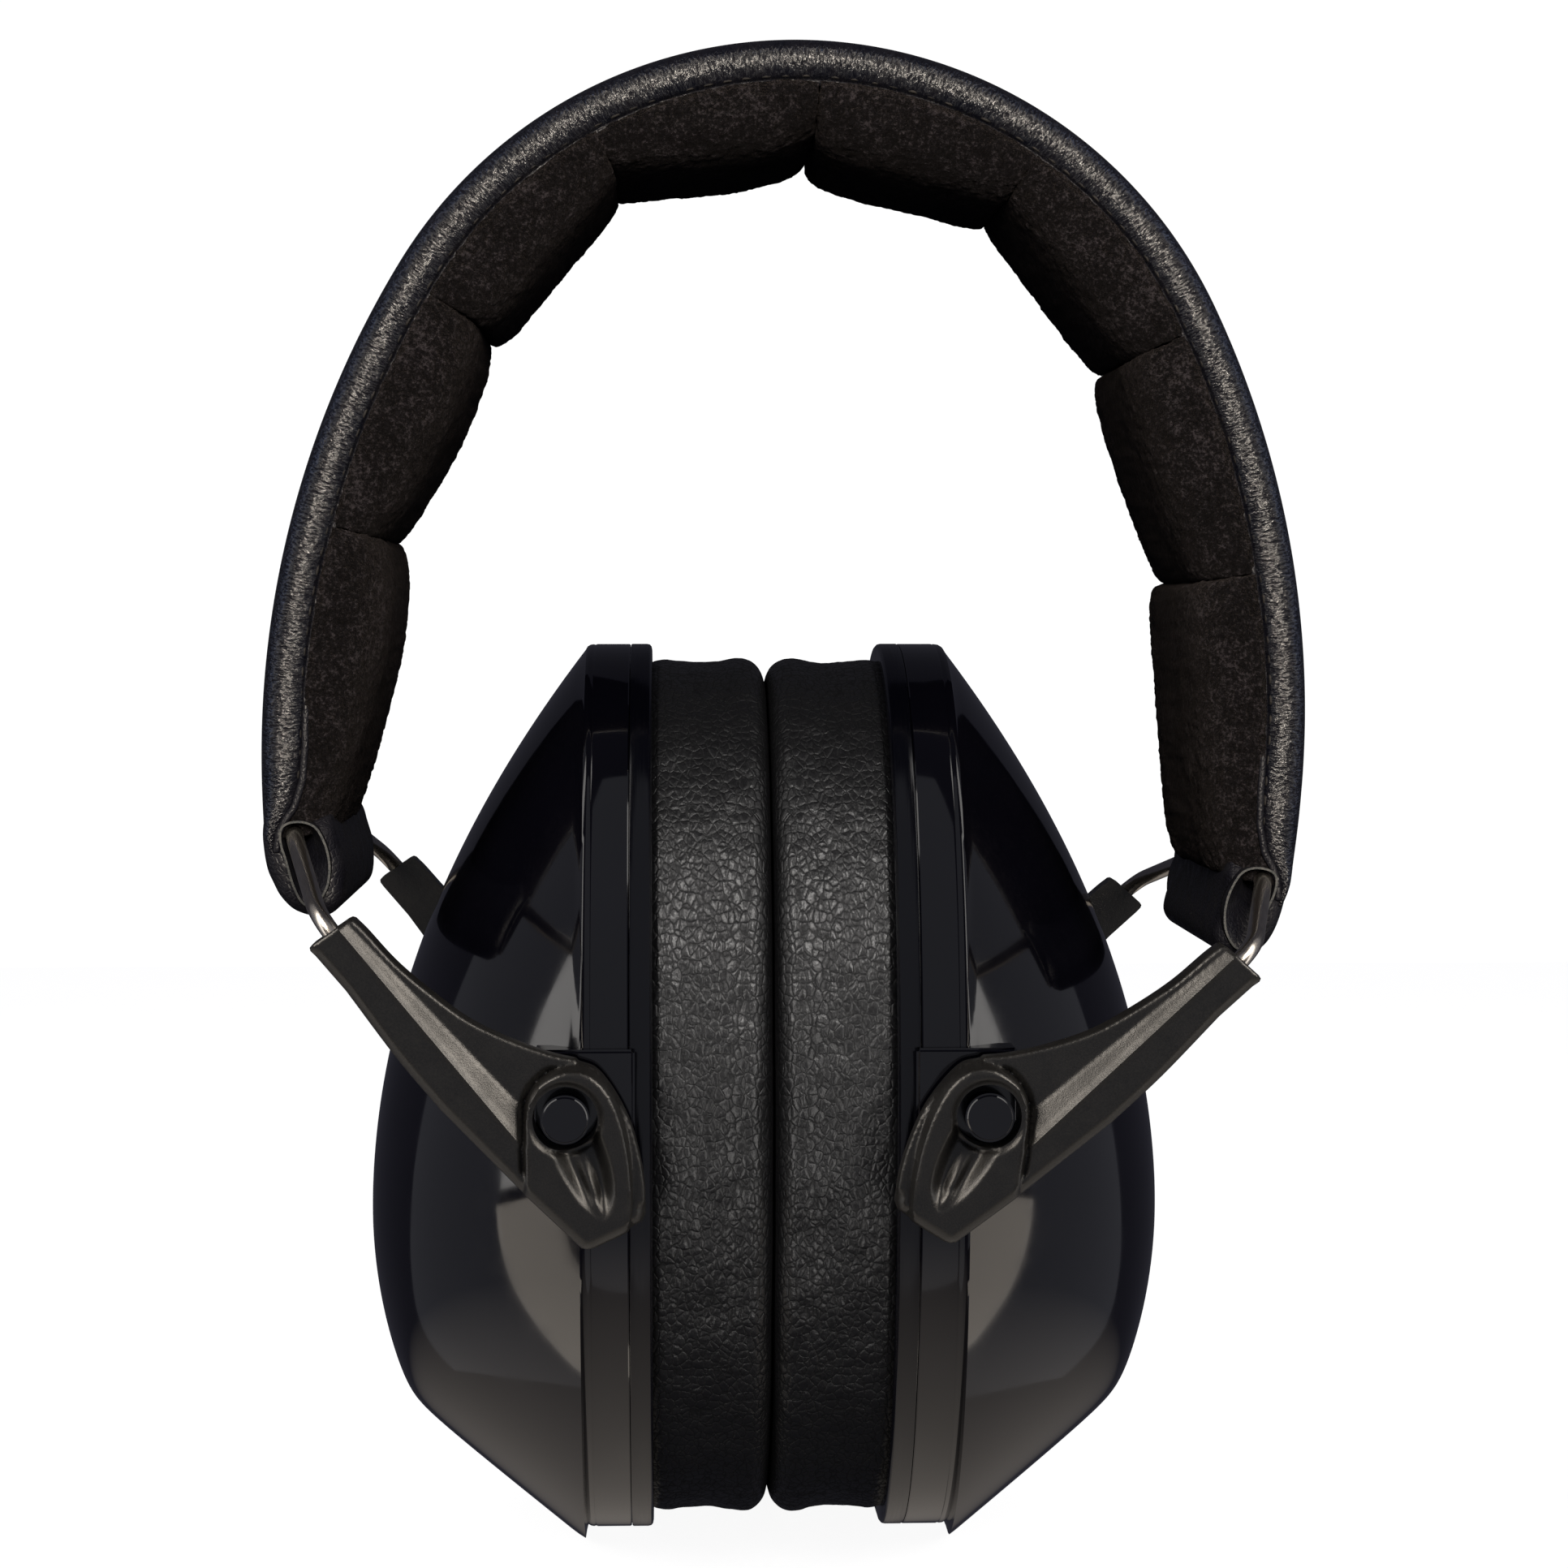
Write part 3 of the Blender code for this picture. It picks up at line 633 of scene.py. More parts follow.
def plush():
    look = Look("lining_plush", (0.006, 0.005, 0.005), 1.0,
                Sheen_Weight=0.03, Sheen_Roughness=0.5, Specular_IOR_Level=0.04)
    look.shader.inputs["Sheen Tint"].default_value = (0.75, 0.62, 0.58, 1)
    pile = look.noise(0.35, 3.0, roughness=0.75)
    tuft = look.noise(0.95, 3.0, roughness=0.7)
    patch = look.noise(6.0, 3.0)
    mixed = None
    for layer, share in ((patch, 0.15), (tuft, 0.35), (pile, 0.5)):
        step = look.add("ShaderNodeMath", operation="MULTIPLY_ADD" if mixed else "MULTIPLY")
        step.inputs[1].default_value = share
        look.link(layer, step.inputs[0])
        if mixed:
            look.link(mixed, step.inputs[2])
        mixed = step.outputs[0]
    look.colour(look.ramp(mixed, [(0.43, (0.0006, 0.0006, 0.0008)), (0.52, (0.0026, 0.0024, 0.0029)),
                                  (0.61, (0.0190, 0.0168, 0.0190))]))
    look.bump(tuft, 0.6)
    look.bump(pile, 0.4)
    return look.material


def gloss_shell():
    look = Look("shell_gloss_plastic", (0.0035, 0.0035, 0.0075), 0.06,
                Specular_IOR_Level=0.55, Coat_Weight=0.25, Coat_Roughness=0.03)
    look.bump(look.noise(22.0, 2.0), 0.10)
    haze = look.noise(6.0, 5.0, roughness=0.6)
    look.rough(look.ramp(haze, [(0.35, 0.05), (0.75, 0.12)]))
    tone = look.noise(14.0, 2.0)
    look.colour(look.ramp(tone, [(0.3, (0.0042, 0.0040, 0.0075)), (0.7, (0.0065, 0.0060, 0.0110))]))
    return look.material


def gloss_ring():
    look = Look("ring_gloss_plastic", (0.004, 0.004, 0.008), 0.14, Specular_IOR_Level=0.5)
    drawn = look.noise(0.5, 3.0, (3.0, 0.08, 0.08))
    look.rough(look.ramp(drawn, [(0.3, 0.10), (0.7, 0.24)]))
    look.bump(drawn, 0.01)
    return look.material


def satin_arm():
    look = Look("arm_satin_plastic", (0.007, 0.007, 0.007), 0.34, Specular_IOR_Level=0.55)
    spark = look.noise(0.16, 2.0, roughness=0.6)
    look.bump(spark, 0.022)
    look.bump(look.noise(0.55, 3.0), 0.012)
    worn = look.noise(3.5, 5.0, roughness=0.65)
    look.rough(look.ramp(worn, [(0.3, 0.30), (0.7, 0.43)]))
    look.colour(look.ramp(spark, [(0.35, (0.0040, 0.0039, 0.0038)), (0.7, (0.0115, 0.0108, 0.0100))]))
    return look.material


def wire_steel():
    look = Look("bail_steel", (0.66, 0.62, 0.56), 0.2, Metallic=1.0)
    drawn = look.noise(0.3, 4.0, (0.15, 3.0, 1), uv=True)
    look.rough(look.ramp(drawn, [(0.3, 0.20), (0.7, 0.27)]))
    look.colour(look.ramp(look.noise(2.5, 4.0), [(0.3, (0.54, 0.50, 0.45)), (0.7, (0.66, 0.62, 0.56))]))
    look.bump(drawn, 0.0015)
    return look.material


def strip_steel():
    look = Look("strip_steel", (0.45, 0.45, 0.46), 0.32, Metallic=1.0)
    roll = look.noise(0.4, 4.0, (0.1, 3.0, 1), uv=True)
    look.rough(look.ramp(roll, [(0.3, 0.25), (0.7, 0.42)]))
    look.bump(roll, 0.01)
    return look.material


def foam_look():
    look = Look("acoustic_foam", (0.05, 0.05, 0.052), 0.95, Specular_IOR_Level=0.1)
    pores = look.cells(0.9, warp=0.5, feature="F1")
    # the pits of the pores are coloured darker than the foam around them: painted shade inside the pores
    look.colour(look.ramp(pores, [(0.15, (0.008, 0.008, 0.009)), (0.5, (0.075, 0.075, 0.08))]))
    look.bump(pores, 0.5)
    return look.material


def thread_look():
    look = Look("seam_thread", (0.008, 0.007, 0.007), 0.7, Specular_IOR_Level=0.2)
    twist = look.noise(0.2, 2.0, (1, 3, 1))
    look.colour(look.ramp(twist, [(0.35, (0.003, 0.003, 0.003)), (0.7, (0.014, 0.012, 0.011))]))
    look.bump(twist, 0.04)
    return look.material


def floor_look():
    look = Look("pale_floor", (0.9, 0.9, 0.9), 0.9, Specular_IOR_Level=0.05)
    look.colour(look.ramp(look.noise(40.0, 2.0), [(0.3, 0.88), (0.7, 0.92)]))
    look.shader.inputs["Emission Color"].default_value = (1, 1, 1, 1)
    look.shader.inputs["Emission Strength"].default_value = 0.93
    return look.material


# ---- headband ------------------------------------------------------------------

def arch(along, inset, y):
    """Points of the leaning arch, from arrays of place along it, inset and y."""
    along, inset, y = np.broadcast_arrays(*(np.asarray(v, float) for v in (along, inset, y)))
    sign = np.sign(along)
    reach = np.abs(along)
    crown_length = ARCH_CROWN_RADIUS * ARCH_CROWN_ANGLE
    crown = reach <= crown_length
    angle = np.where(crown, reach / ARCH_CROWN_RADIUS,
                     ARCH_CROWN_ANGLE + (reach - crown_length) / ARCH_FLANK_RADIUS)
    radius = np.where(crown, ARCH_CROWN_RADIUS, ARCH_FLANK_RADIUS) - inset
    step = np.where(crown, 0.0, ARCH_FLANK_RADIUS - ARCH_CROWN_RADIUS)
    x = sign * (radius * np.sin(angle) - step * math.sin(ARCH_CROWN_ANGLE))
    z = ARCH_TOP_Z - ARCH_CROWN_RADIUS + radius * np.cos(angle) - step * math.cos(ARCH_CROWN_ANGLE)
    z = z - ARCH_FOOT[1]
    out_x = ARCH_FOOT[0] + x * math.cos(ARCH_LEAN) - z * math.sin(ARCH_LEAN) + CUP_PLANE_X
    out_z = ARCH_FOOT[1] + x * math.sin(ARCH_LEAN) + z * math.cos(ARCH_LEAN)
    return np.stack([out_x, y, out_z], -1)


def join_band(made, slot, side, sign):
    """Lets a piece bend with one flank, from the crown."""
    start, end = [tuple(arch(sign * s, 4.0, 0.0) * MM) for s in (BEND_START, BEND_END)]
    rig.slot(made, slot)
    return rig.blend(made, "crown", side + "_flank", start=start, end=end)


def fasten(made, node, slot, body):
    """Lets a piece stand for a node and ride on a body."""
    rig.replaces(made, node)
    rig.slot(made, slot)
    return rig.ride(made, body)


def face_name(way):
    return "front" if way < 0 else "rear"


def spaced(start, end, step):
    count = max(2, int(round(abs(end - start) / step)) + 1)
    return np.linspace(start, end, count)


def cover_section():
    """The cover's section as (inset, y): seam, front roll, crowned outside, and back."""
    half = BAND_HALF_WIDTH
    roll = [(COVER_THICK - 0.30, half - 1.9), (COVER_THICK + 0.10, half - 1.15),
            (COVER_THICK - 0.05, half - 0.60), (4.2, half - 0.10), (3.4, half + 0.24),
            (2.5, half + 0.34), (1.7, half + 0.08), (1.0, half - 0.65),
            (0.5, half - 1.70), (0.15, half - 3.2), (0.0, half - 5.0)]
    fine = [Vector((p[0], p[1], 0)) for p in smooth_path([(a, b, 0) for a, b in roll], 3)]
    edge = [(p.x, p.y) for p in fine]
    middle = [(-0.35 * math.cos(math.pi / 2 * y / (half - 5.0)), y)
              for y in np.linspace(half - 6.2, -(half - 6.2), 16)]
    far = [(n, -y) for n, y in reversed(edge)]
    under = [(COVER_THICK - 0.35, y) for y in np.linspace(-(half - 6), half - 6, 5)]
    return np.array(edge + middle + far + under)


def cover_half(side, sign, look):
    """Half the leatherette cover, from the crown to the band's end."""
    section = cover_section()
    along = spaced(0.0, sign * COVER_END, 0.32)
    inset = np.broadcast_to(section[None, :, 0], (len(along), len(section))).copy()
    y = np.broadcast_to(section[None, :, 1], inset.shape).copy()
    reach = np.abs(along)[:, None]
    edge = np.clip((np.abs(y) - (BAND_HALF_WIDTH - 4.0)) / 4.0, 0, 1)
    seam = np.clip((inset - 1.2) / 3.4, 0, 1) * edge
    base = arch(along[:, None], inset, y)
    place = np.broadcast_to(along[:, None], y.shape)
    pucker = ripple(np.stack([place / 0.55, inset / 3.0, y / 9.0], -1), 1.0, 1).reshape(y.shape)
    crease = ripple(np.stack([place / 2.6, inset / 4.0, y / 12.0], -1), 1.0, 2).reshape(y.shape)
    swell = ripple(base, 11.0, 3).reshape(y.shape)
    push = seam * (0.16 * pucker + 0.16 * crease) + 0.12 * swell * edge
    near_end = np.clip((reach - 104.0) / 12.0, 0, 1)
    fold = ripple(base, 4.2, 4).reshape(y.shape)
    push = push + near_end * 0.35 * fold * edge
    y = y + np.sign(y) * push
    narrow = 1 - (1 - seam_inset(along)[:, None] / COVER_THICK) * edge ** 0.5
    dive = np.clip((reach - 117.5) / 3.9, 0, 1) ** 2
    inset = inset * narrow + dive * (0.65 - 0.3 * np.clip(inset / COVER_THICK, 0, 1))
    y = y * (1 - 0.04 * dive)
    points = arch(along[:, None], inset, y)
    made = grid_object(side + "_cover_leather", points, look)
    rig.replaces(made, side + "_cover", "crown_cover")
    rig.padded(made, fill=0.7)
    return join_band(made, "cover", side, sign)


def seam_inset(along):
    """The seam's inset: it runs straight, then sweeps outward over the loop's opening."""
    return np.interp(np.abs(along), (0.0, 100.0, 109.0, 112.7, 115.8, 117.2, 118.6, 121.4),
                     (COVER_THICK, COVER_THICK, 4.9, 4.6, 3.6, 2.5, 1.7, 1.1))


def seam_welt(side, sign, way, look):
    """The narrow turned edge that runs between the cover and the lining."""
    along = spaced(0.0, sign * 120.6, 0.5)
    path = []
    for s in along:
        wander = noise.noise(Vector((s / 7.0, way * 3.1, sign * 1.7)))
        proud = 0.80 * float(step_between(abs(s), 98.0, 110.0)) - 1.10
        y = BAND_HALF_WIDTH + proud + 0.10 * wander
        path.append(arch(s, seam_inset(s) + 0.28 + 0.08 * wander, way * y))
    return join_band(tube(f"{side}_seam_welt_{face_name(way)}", path, 0.40, look, 10), "cover", side, sign)


def seam_stitches(side, sign, way, look):
    """One row of thread stitches along the seam, as one mesh."""
    points = []
    faces = []
    sides = 6
    for k in range(int(TAB_START / STITCH_PITCH) - 1):
        start = sign * (1.0 + k * STITCH_PITCH)
        middle = start + sign * STITCH_LENGTH / 2
        rows = []
        for t in np.linspace(-1, 1, 5):
            s = middle + sign * t * STITCH_LENGTH / 2
            thick = 0.17 * math.sqrt(max(0.12, 1 - t ** 4))
            lift = BAND_HALF_WIDTH - 0.42 - 0.14 * t * t
            for i in range(sides):
                a = 2 * math.pi * i / sides
                inset = seam_inset(s) - 0.3 + thick * math.cos(a)
                rows.append(arch(s, inset, way * (lift + thick * math.sin(a))))
        base = len(points)
        points += rows
        faces += [tuple(base + i for i in face) for face in grid_faces(5, sides)]
    made = object_from(f"{side}_stitches_{face_name(way)}", np.array(points), faces, look)
    return join_band(face_outwards(made), "cover", side, sign)


def pad_shape(number, share, round_share, top):
    """A lining pad's inset and y from shares along it and round its section."""
    near, far = PAD_NOTCHES[number - 1], PAD_NOTCHES[number]
    crest, depth = PAD_CRESTS[number - 1]
    peak = (crest - near[0]) / (far[0] - near[0])
    warped = share ** (math.log(0.5) / math.log(peak))
    swell = np.sin(math.pi * warped) ** 0.5
    floor_depth = near[1] + (far[1] - near[1]) * share
    inner = floor_depth + (depth - floor_depth) * swell
    half = BAND_HALF_WIDTH - 0.75 + 0.55 * swell
    angle = math.pi * round_share
    c = np.cos(angle)
    y = half * np.sign(c) * np.abs(c) ** 0.36
    rise = np.abs(np.sin(angle)) ** 0.62
    inset = top + (inner - top) * rise
    pinch = (1 - swell) * np.clip(rise * 1.3 - 0.2, 0, 1)
    return inset, y * (1 - 0.05 * pinch)


def lining_pad(number, side, sign, look):
    """One quilted section of the plush lining, puffed up between its seams."""
    start = PAD_NOTCHES[number - 1][0] + 0.02
    end = PAD_NOTCHES[number][0] - 0.02
    rows = int((end - start) / 0.42)
    columns = 96
    t = (1 - np.cos(math.pi * np.linspace(0, 1, rows))) / 2
    share = 0.5 * t + 0.5 * np.linspace(0, 1, rows)
    around = np.linspace(0, 1, columns)
    along = start + (end - start) * share
    top = seam_inset(along)[:, None] + 0.2
    inset, y = pad_shape(number, share[:, None], around[None, :], top)
    points = arch(along[:, None], inset, y)
    back = arch(along[:, None], top, np.linspace(-1, 1, 14)[None, 1:-1] * (BAND_HALF_WIDTH - 1.1))
    points = np.concatenate([points, back], axis=1)
    made = grid_object(f"lining_pad_{number}_plush", points, look)
    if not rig.quick():
        hold = np.ones(points.shape[:2])
        free = np.clip((inset - PAD_TOP - 0.6) / 1.6, 0, 1)
        free = free * np.clip(np.sin(math.pi * share) * 5, 0, 1)[:, None]
        hold[:, :columns] = 1 - free
        settle(made, hold.ravel(), 2.2, 12, 0.6)
    for amount, size, seed in ((0.16, 3.4, 20), (0.17, 0.80, 40), (0.13, 0.42, 60)):
        roughen(made, amount, size, seed + number)
    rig.replaces(made, f"lining_pad_{number}")
    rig.padded(made, fill=0.75)
    return join_band(made, "lining", side, sign)


def strip_half(side, sign, look):
    """Half of the spring strip inside the band."""
    section = np.array([(3.0, 12.3), (2.95, 12.0), (2.95, -12.0), (3.0, -12.3), (3.7, -12.5),
                        (3.95, -12.2), (3.95, 12.2), (3.7, 12.5)])
    along = spaced(0.0, sign * (TAB_START - 1.0), 2.0)
    points = arch(along[:, None], section[None, :, 0], section[None, :, 1])
    made = sharpen(grid_object(side + "_spring_strip_steel", points, look), 30)
    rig.replaces(made, side + "_spring_strip", "crown_spring_strip")
    return join_band(made, "strip", side, sign)


TAB_OUTLINES = {
    "left": ((116.6, 1.4), (116.8, 0.40), (117.8, 0.05), (120.4, 0.02), (122.6, 0.17), (124.1, 0.60),
             (125.6, 1.15), (127.1, 2.15), (128.0, 3.4), (128.5, 4.7), (128.6, 5.8), (128.1, 7.0),
             (127.1, 7.85), (125.2, 8.35), (122.6, 8.5), (120.0, 8.1), (118.0, 7.7), (116.8, 6.9)),
    "right": ((116.6, 1.8), (116.8, 0.80), (117.8, 0.46), (120.4, 0.45), (122.6, 0.60), (124.2, 0.85),
              (125.6, 1.30), (126.6, 1.95), (127.5, 3.0), (128.1, 4.4), (128.1, 5.6), (127.6, 6.6),
              (126.6, 7.30), (125.0, 7.5), (123.2, 7.4), (120.8, 7.4), (118.4, 7.5), (116.8, 6.9)),
}
LEAF = ((118.0, 2.6), (117.6, 4.2), (118.3, 5.9), (120.4, 6.8), (122.8, 7.0), (125.0, 6.5),
        (126.4, 5.5), (126.9, 4.5), (126.3, 3.7), (124.4, 3.1), (121.8, 2.7), (119.6, 2.3))


def loop_through(points, steps):
    """A smooth closed curve through points of (along, inset)."""
    wrapped = list(points[-1:]) + list(points) + list(points[:2])
    fine = smooth_path([(a, b, 0) for a, b in wrapped], steps)
    return [(p.x, p.y) for p in fine[steps:-(steps + 1)]]


def shrunk(outline, amount):
    """A closed outline moved inward (or outward, when amount is negative)."""
    points = np.array(outline)
    ahead = np.roll(points, -1, axis=0) - np.roll(points, 1, axis=0)
    ahead /= np.linalg.norm(ahead, axis=1, keepdims=True)
    left = np.stack([-ahead[:, 1], ahead[:, 0]], 1)
    turning = np.sum(points[:, 0] * np.roll(points[:, 1], -1) - np.roll(points[:, 0], -1) * points[:, 1])
    return [tuple(p) for p in points + left * amount * np.sign(turning)]


def relief_solid(name, outline, holes, creases, step, front, back, place, look):
    """A solid on a flat outline: front and back give the y of its two skins.

    Creases are polylines that the mesh's edges follow. place maps the drawing's
    two coordinates to world x and z.
    """
    border = dense(outline, step)
    inner = [dense(hole, step) for hole in holes]
    paths = [(path, True) for path in [border] + inner]
    paths += [(dense(crease, step, closed=False), False) for crease in creases]
    low = np.min(np.array(border), 0)
    high = np.max(np.array(border), 0)
    xs = np.arange(low[0], high[0], step)
    zs = np.arange(low[1], high[1], step * 0.87)
    grid = np.array([(a + (0.5 * step if j % 2 else 0), b) for j, b in enumerate(zs) for a in xs])
    clear = np.array([inside(p, outline) and not any(inside(p, hole) for hole in holes) for p in grid])
    grid = grid[clear]
    points = []
    edges = []
    near = np.full(len(grid), 1e9)
    for path, closed in paths:
        near = np.minimum(near, distance_to_path(grid[:, 0], grid[:, 1], path, closed))
        base = len(points)
        points += [Vector(p) for p in path]
        edges += [(base + i, base + (i + 1) % len(path)) for i in range(len(path) - 1 + closed)]
    points += [Vector(p) for p in grid[near > 0.5 * step]]
    verts, _, faces, _, _, _ = delaunay_2d_cdt(points, edges, [], 2, 1e-5)
    flat = np.array([(v.x, v.y) for v in verts])
    kept = []
    for face in faces:
        middle = flat[list(face)].mean(0)
        if inside(middle, border) and not any(inside(middle, hole) for hole in inner):
            kept.append(tuple(face))
    count = len(flat)
    spots = np.array([place(a, b) for a, b in flat])
    skins = [np.stack([spots[:, 0], skin(flat[:, 0], flat[:, 1]), spots[:, 1]], -1)
             for skin in (front, back)]
    loops = set()
    for face in kept:
        loops.update(zip(face, face[1:] + face[:1]))
    walls = [(a, b, b + count, a + count) for a, b in sorted(loops) if (b, a) not in loops]
    all_faces = kept + [tuple(i + count for i in reversed(face)) for face in kept] + walls
    used = np.zeros(2 * count, bool)
    used[np.array([i for face in all_faces for i in face])] = True
    index = np.cumsum(used) - 1
    all_faces = [tuple(int(index[i]) for i in face) for face in all_faces]
    return face_outwards(object_from(name, np.concatenate(skins)[used], all_faces, look))


def quarter_round(distance, radius):
    """How far a rounded edge falls away at a distance from its rim."""
    gap = np.clip(radius - distance, 0, radius)
    return radius - np.sqrt(radius * radius - gap * gap)


def tab_body(side, sign, look):
    """The folded leather end, with the loop's opening right through it."""
    outline = loop_through(TAB_OUTLINES[side], 5)
    hole = shrunk(loop_through(LEAF, 4), -0.30)

    def skin(along, inset):
        rim = distance_to_path(along, inset, outline)
        tucked = 1.3 * (1 - step_between(along, 117.0, 119.2))
        crease = 0.22 * ripple(np.stack([along, inset, 0 * along], -1), 3.0, 5 + sign)
        lip = -0.25 * np.exp(-(distance_to_path(along, inset, hole) / 0.9) ** 2)
        return BAND_HALF_WIDTH + 0.1 - quarter_round(rim, 2.5) - tucked + crease + lip

    def place(along, inset):
        spot = arch(sign * along, inset, 0.0)
        return spot[0], spot[2]

    made = relief_solid(side + "_end_tab_leather", outline, [hole], [], 0.36,
                        lambda a, b: -skin(a, b), skin, place, look)
    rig.padded(made, fill=0.6)
    return fasten(sharpen(made, 50), side + "_end_tab", "tab", side + "_flank")


def tab_liner(side, sign, look, inner_look):
    """The strap's raw edge and lining in the loop, closing in on the bail's crossbar."""
    mouth = loop_through(LEAF, 4)
    outer = np.array(shrunk(mouth, -0.24))
    inner = np.array(mouth)
    bar = np.array((118.9, 3.6))
    away = inner - bar
    throat = bar + away / np.linalg.norm(away, axis=1, keepdims=True) * 1.25
    half = BAND_HALF_WIDTH + 0.42
    rings = [(inner * (1 - share) + throat * share, half - reach)
             for share, reach in ((1.0, 8.0), (0.97, 5.0), (0.6, 2.4), (0.1, 0.5), (0.0, 0.0))]
    rings += [(outer, half), (outer, half - 1.5)]
    rings += [(line, -reach) for line, reach in reversed(rings)]
    points = []
    for line, reach in rings:
        fray = np.array([noise.noise(Vector((a * 2.3, b * 2.3, reach))) for a, b in line])
        fray = fray * (0.10 if abs(reach) > half - 0.1 else 0.0)
        points.append(arch(sign * line[:, 0], line[:, 1], reach + np.sign(reach) * fray))
    made = grid_object(side + "_loop_lining", np.array(points), look, wrap_rows=True)
    made.data.materials.append(inner_look)
    for face in made.data.polygons:
        face.material_index = int(abs(face.center.y) < (half - 0.2) * MM)
    sharpen(made, 50)
    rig.slot(made, "tab")
    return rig.ride(made, side + "_flank")


def inside(point, outline):
    odd = False
    for (ax, ay), (bx, by) in zip(outline, list(outline[1:]) + [outline[0]]):
        if (ay > point[1]) != (by > point[1]):
            if point[0] < ax + (point[1] - ay) * (bx - ax) / (by - ay):
                odd = not odd
    return odd


# ---- bails and arms --------------------------------------------------------------

def arm_turn(side, sign):
    """How far this side's arms are turned about the pin from the left-hand drawing."""
    slope = math.atan2(-SOCKETS[side].z, -sign * SOCKETS[side].x)
    return math.radians(50.0) - slope if sign > 0 else 0.0


def arm_place(side, sign, x, z):
    """A point of the arm's drawing, from its pin, as world x and z."""
    if sign > 0:
        turn = -arm_turn(side, sign)
        x = -x
        x, z = x * math.cos(turn) - z * math.sin(turn), x * math.sin(turn) + z * math.cos(turn)
    return PINS[side].x + x, PINS[side].z + z


def bail(side, sign, look):
    """The bright wire bail, bent to shape."""
    hang = CROSSBARS[side]
    x, z = arm_place(side, sign, *ARM_MOUTH)
    down = SOCKETS[side]
    path = []
    for way in (-1, 1):
        mouth = Vector((x, way * ARM_Y, z))
        leg = [mouth + down * 21.0, mouth - down * 2.2, Vector((hang.x, way * 19.6, hang.z))]
        path += leg if way < 0 else list(reversed(leg))
    points = rounded_path(path, 4.2, 12)
    fine = [points[0]]
    for a, b in zip(points, points[1:]):
        steps = max(1, int((b - a).length / 1.5))
        fine += [a + (b - a) * (k + 1) / steps for k in range(steps)]
    made = tube(side + "_bail_wire", fine, WIRE_RADIUS, look, 24)
    return fasten(made, side + "_bail", "wire", side + "_bail")


def circle(centre, radius, start, end, count):
    angles = np.radians(np.linspace(start, end, count))
    return [(centre[0] + radius * math.cos(a), centre[1] + radius * math.sin(a)) for a in angles]


def through(points, steps=6):
    return [(p.x, p.y) for p in smooth_path([(a, b, 0) for a, b in points], steps)]


ARM_SIDE = through([(1.3, 5.4), (3.2, 4.6), (5.0, 2.3), (6.5, -0.6), (7.4, -3.6), (8.0, -6.9), (8.1, -10.3)])
ARM_TOP = through([(-21.0, 19.9), (-20.0, 18.9), (-17.2, 15.8), (-13.9, 12.9), (-9.9, 9.9), (-5.9, 7.9),
                   (-1.9, 6.4), (1.0, 5.7)])
ARM_OUTLINE = ([(-25.35, 17.75), (-25.6, 17.45), (-25.55, 17.1), (-25.1, 16.5)]
               + through([(-22.1, 13.0), (-17.1, 6.2), (-12.7, 0.9)])
               + [(-4.8, -7.2), (1.6, -13.3), (2.1, -13.5), (2.7, -13.4), (7.7, -11.1)]
               + ARM_SIDE[::-1] + ARM_TOP[::-1]
               + [(-21.25, 20.15), (-21.6, 20.25), (-21.95, 20.1)])
FACET_LOW = ((-22.3, 18.9), (-4.6, -2.5))
FACET_HIGH = ((-17.4, 14.7), (-4.7, 1.0))
PLATE_EDGE = through([(-4.5, -8.2), (-4.0, -6.8), (-4.0, -2.4), (-3.9, 0.9), (-3.2, 2.8),
                      (-1.5, 4.3), (0.4, 4.95), (2.4, 4.6), (4.3, 2.9), (5.5, 0.3), (6.2, -2.4),
                      (6.6, -5.3), (6.7, -9.0), (6.4, -11.7)])
SCOOP = through([(-1.7, -2.9), (-0.8, -5.3), (1.1, -8.4), (3.0, -10.1), (3.9, -10.4), (4.6, -9.8),
                 (5.3, -7.9), (5.1, -5.3), (4.3, -2.6), (3.45, -0.7)])


def distance_to_line(x, z, line):
    """Signed distance from a straight line, positive on its upper left side."""
    (ax, az), (bx, bz) = line
    length = math.hypot(bx - ax, bz - az)
    return ((bz - az) * (ax - x) - (bx - ax) * (az - z)) / length


def distance_to_path(x, z, path, closed=True):
    """Distance from points to a polyline."""
    path = list(path)
    best = np.full(np.shape(x), 1e9)
    for (ax, az), (bx, bz) in zip(path, path[1:] + ([path[0]] if closed else [])):
        dx = bx - ax
        dz = bz - az
        t = np.clip(((x - ax) * dx + (z - az) * dz) / max(dx * dx + dz * dz, 1e-12), 0, 1)
        best = np.minimum(best, np.hypot(x - ax - t * dx, z - az - t * dz))
    return best


def step_between(value, low, high):
    """A smooth step from 0 at low to 1 at high."""
    t = np.clip((value - low) / (high - low), 0, 1)
    return t * t * (3 - 2 * t)


def signed_inside(x, z, outline):
    """Distance from a closed outline, positive inside it."""
    away = distance_to_path(x, z, outline)
    return np.where(np.array([inside(p, outline) for p in zip(x, z)]), away, -away)


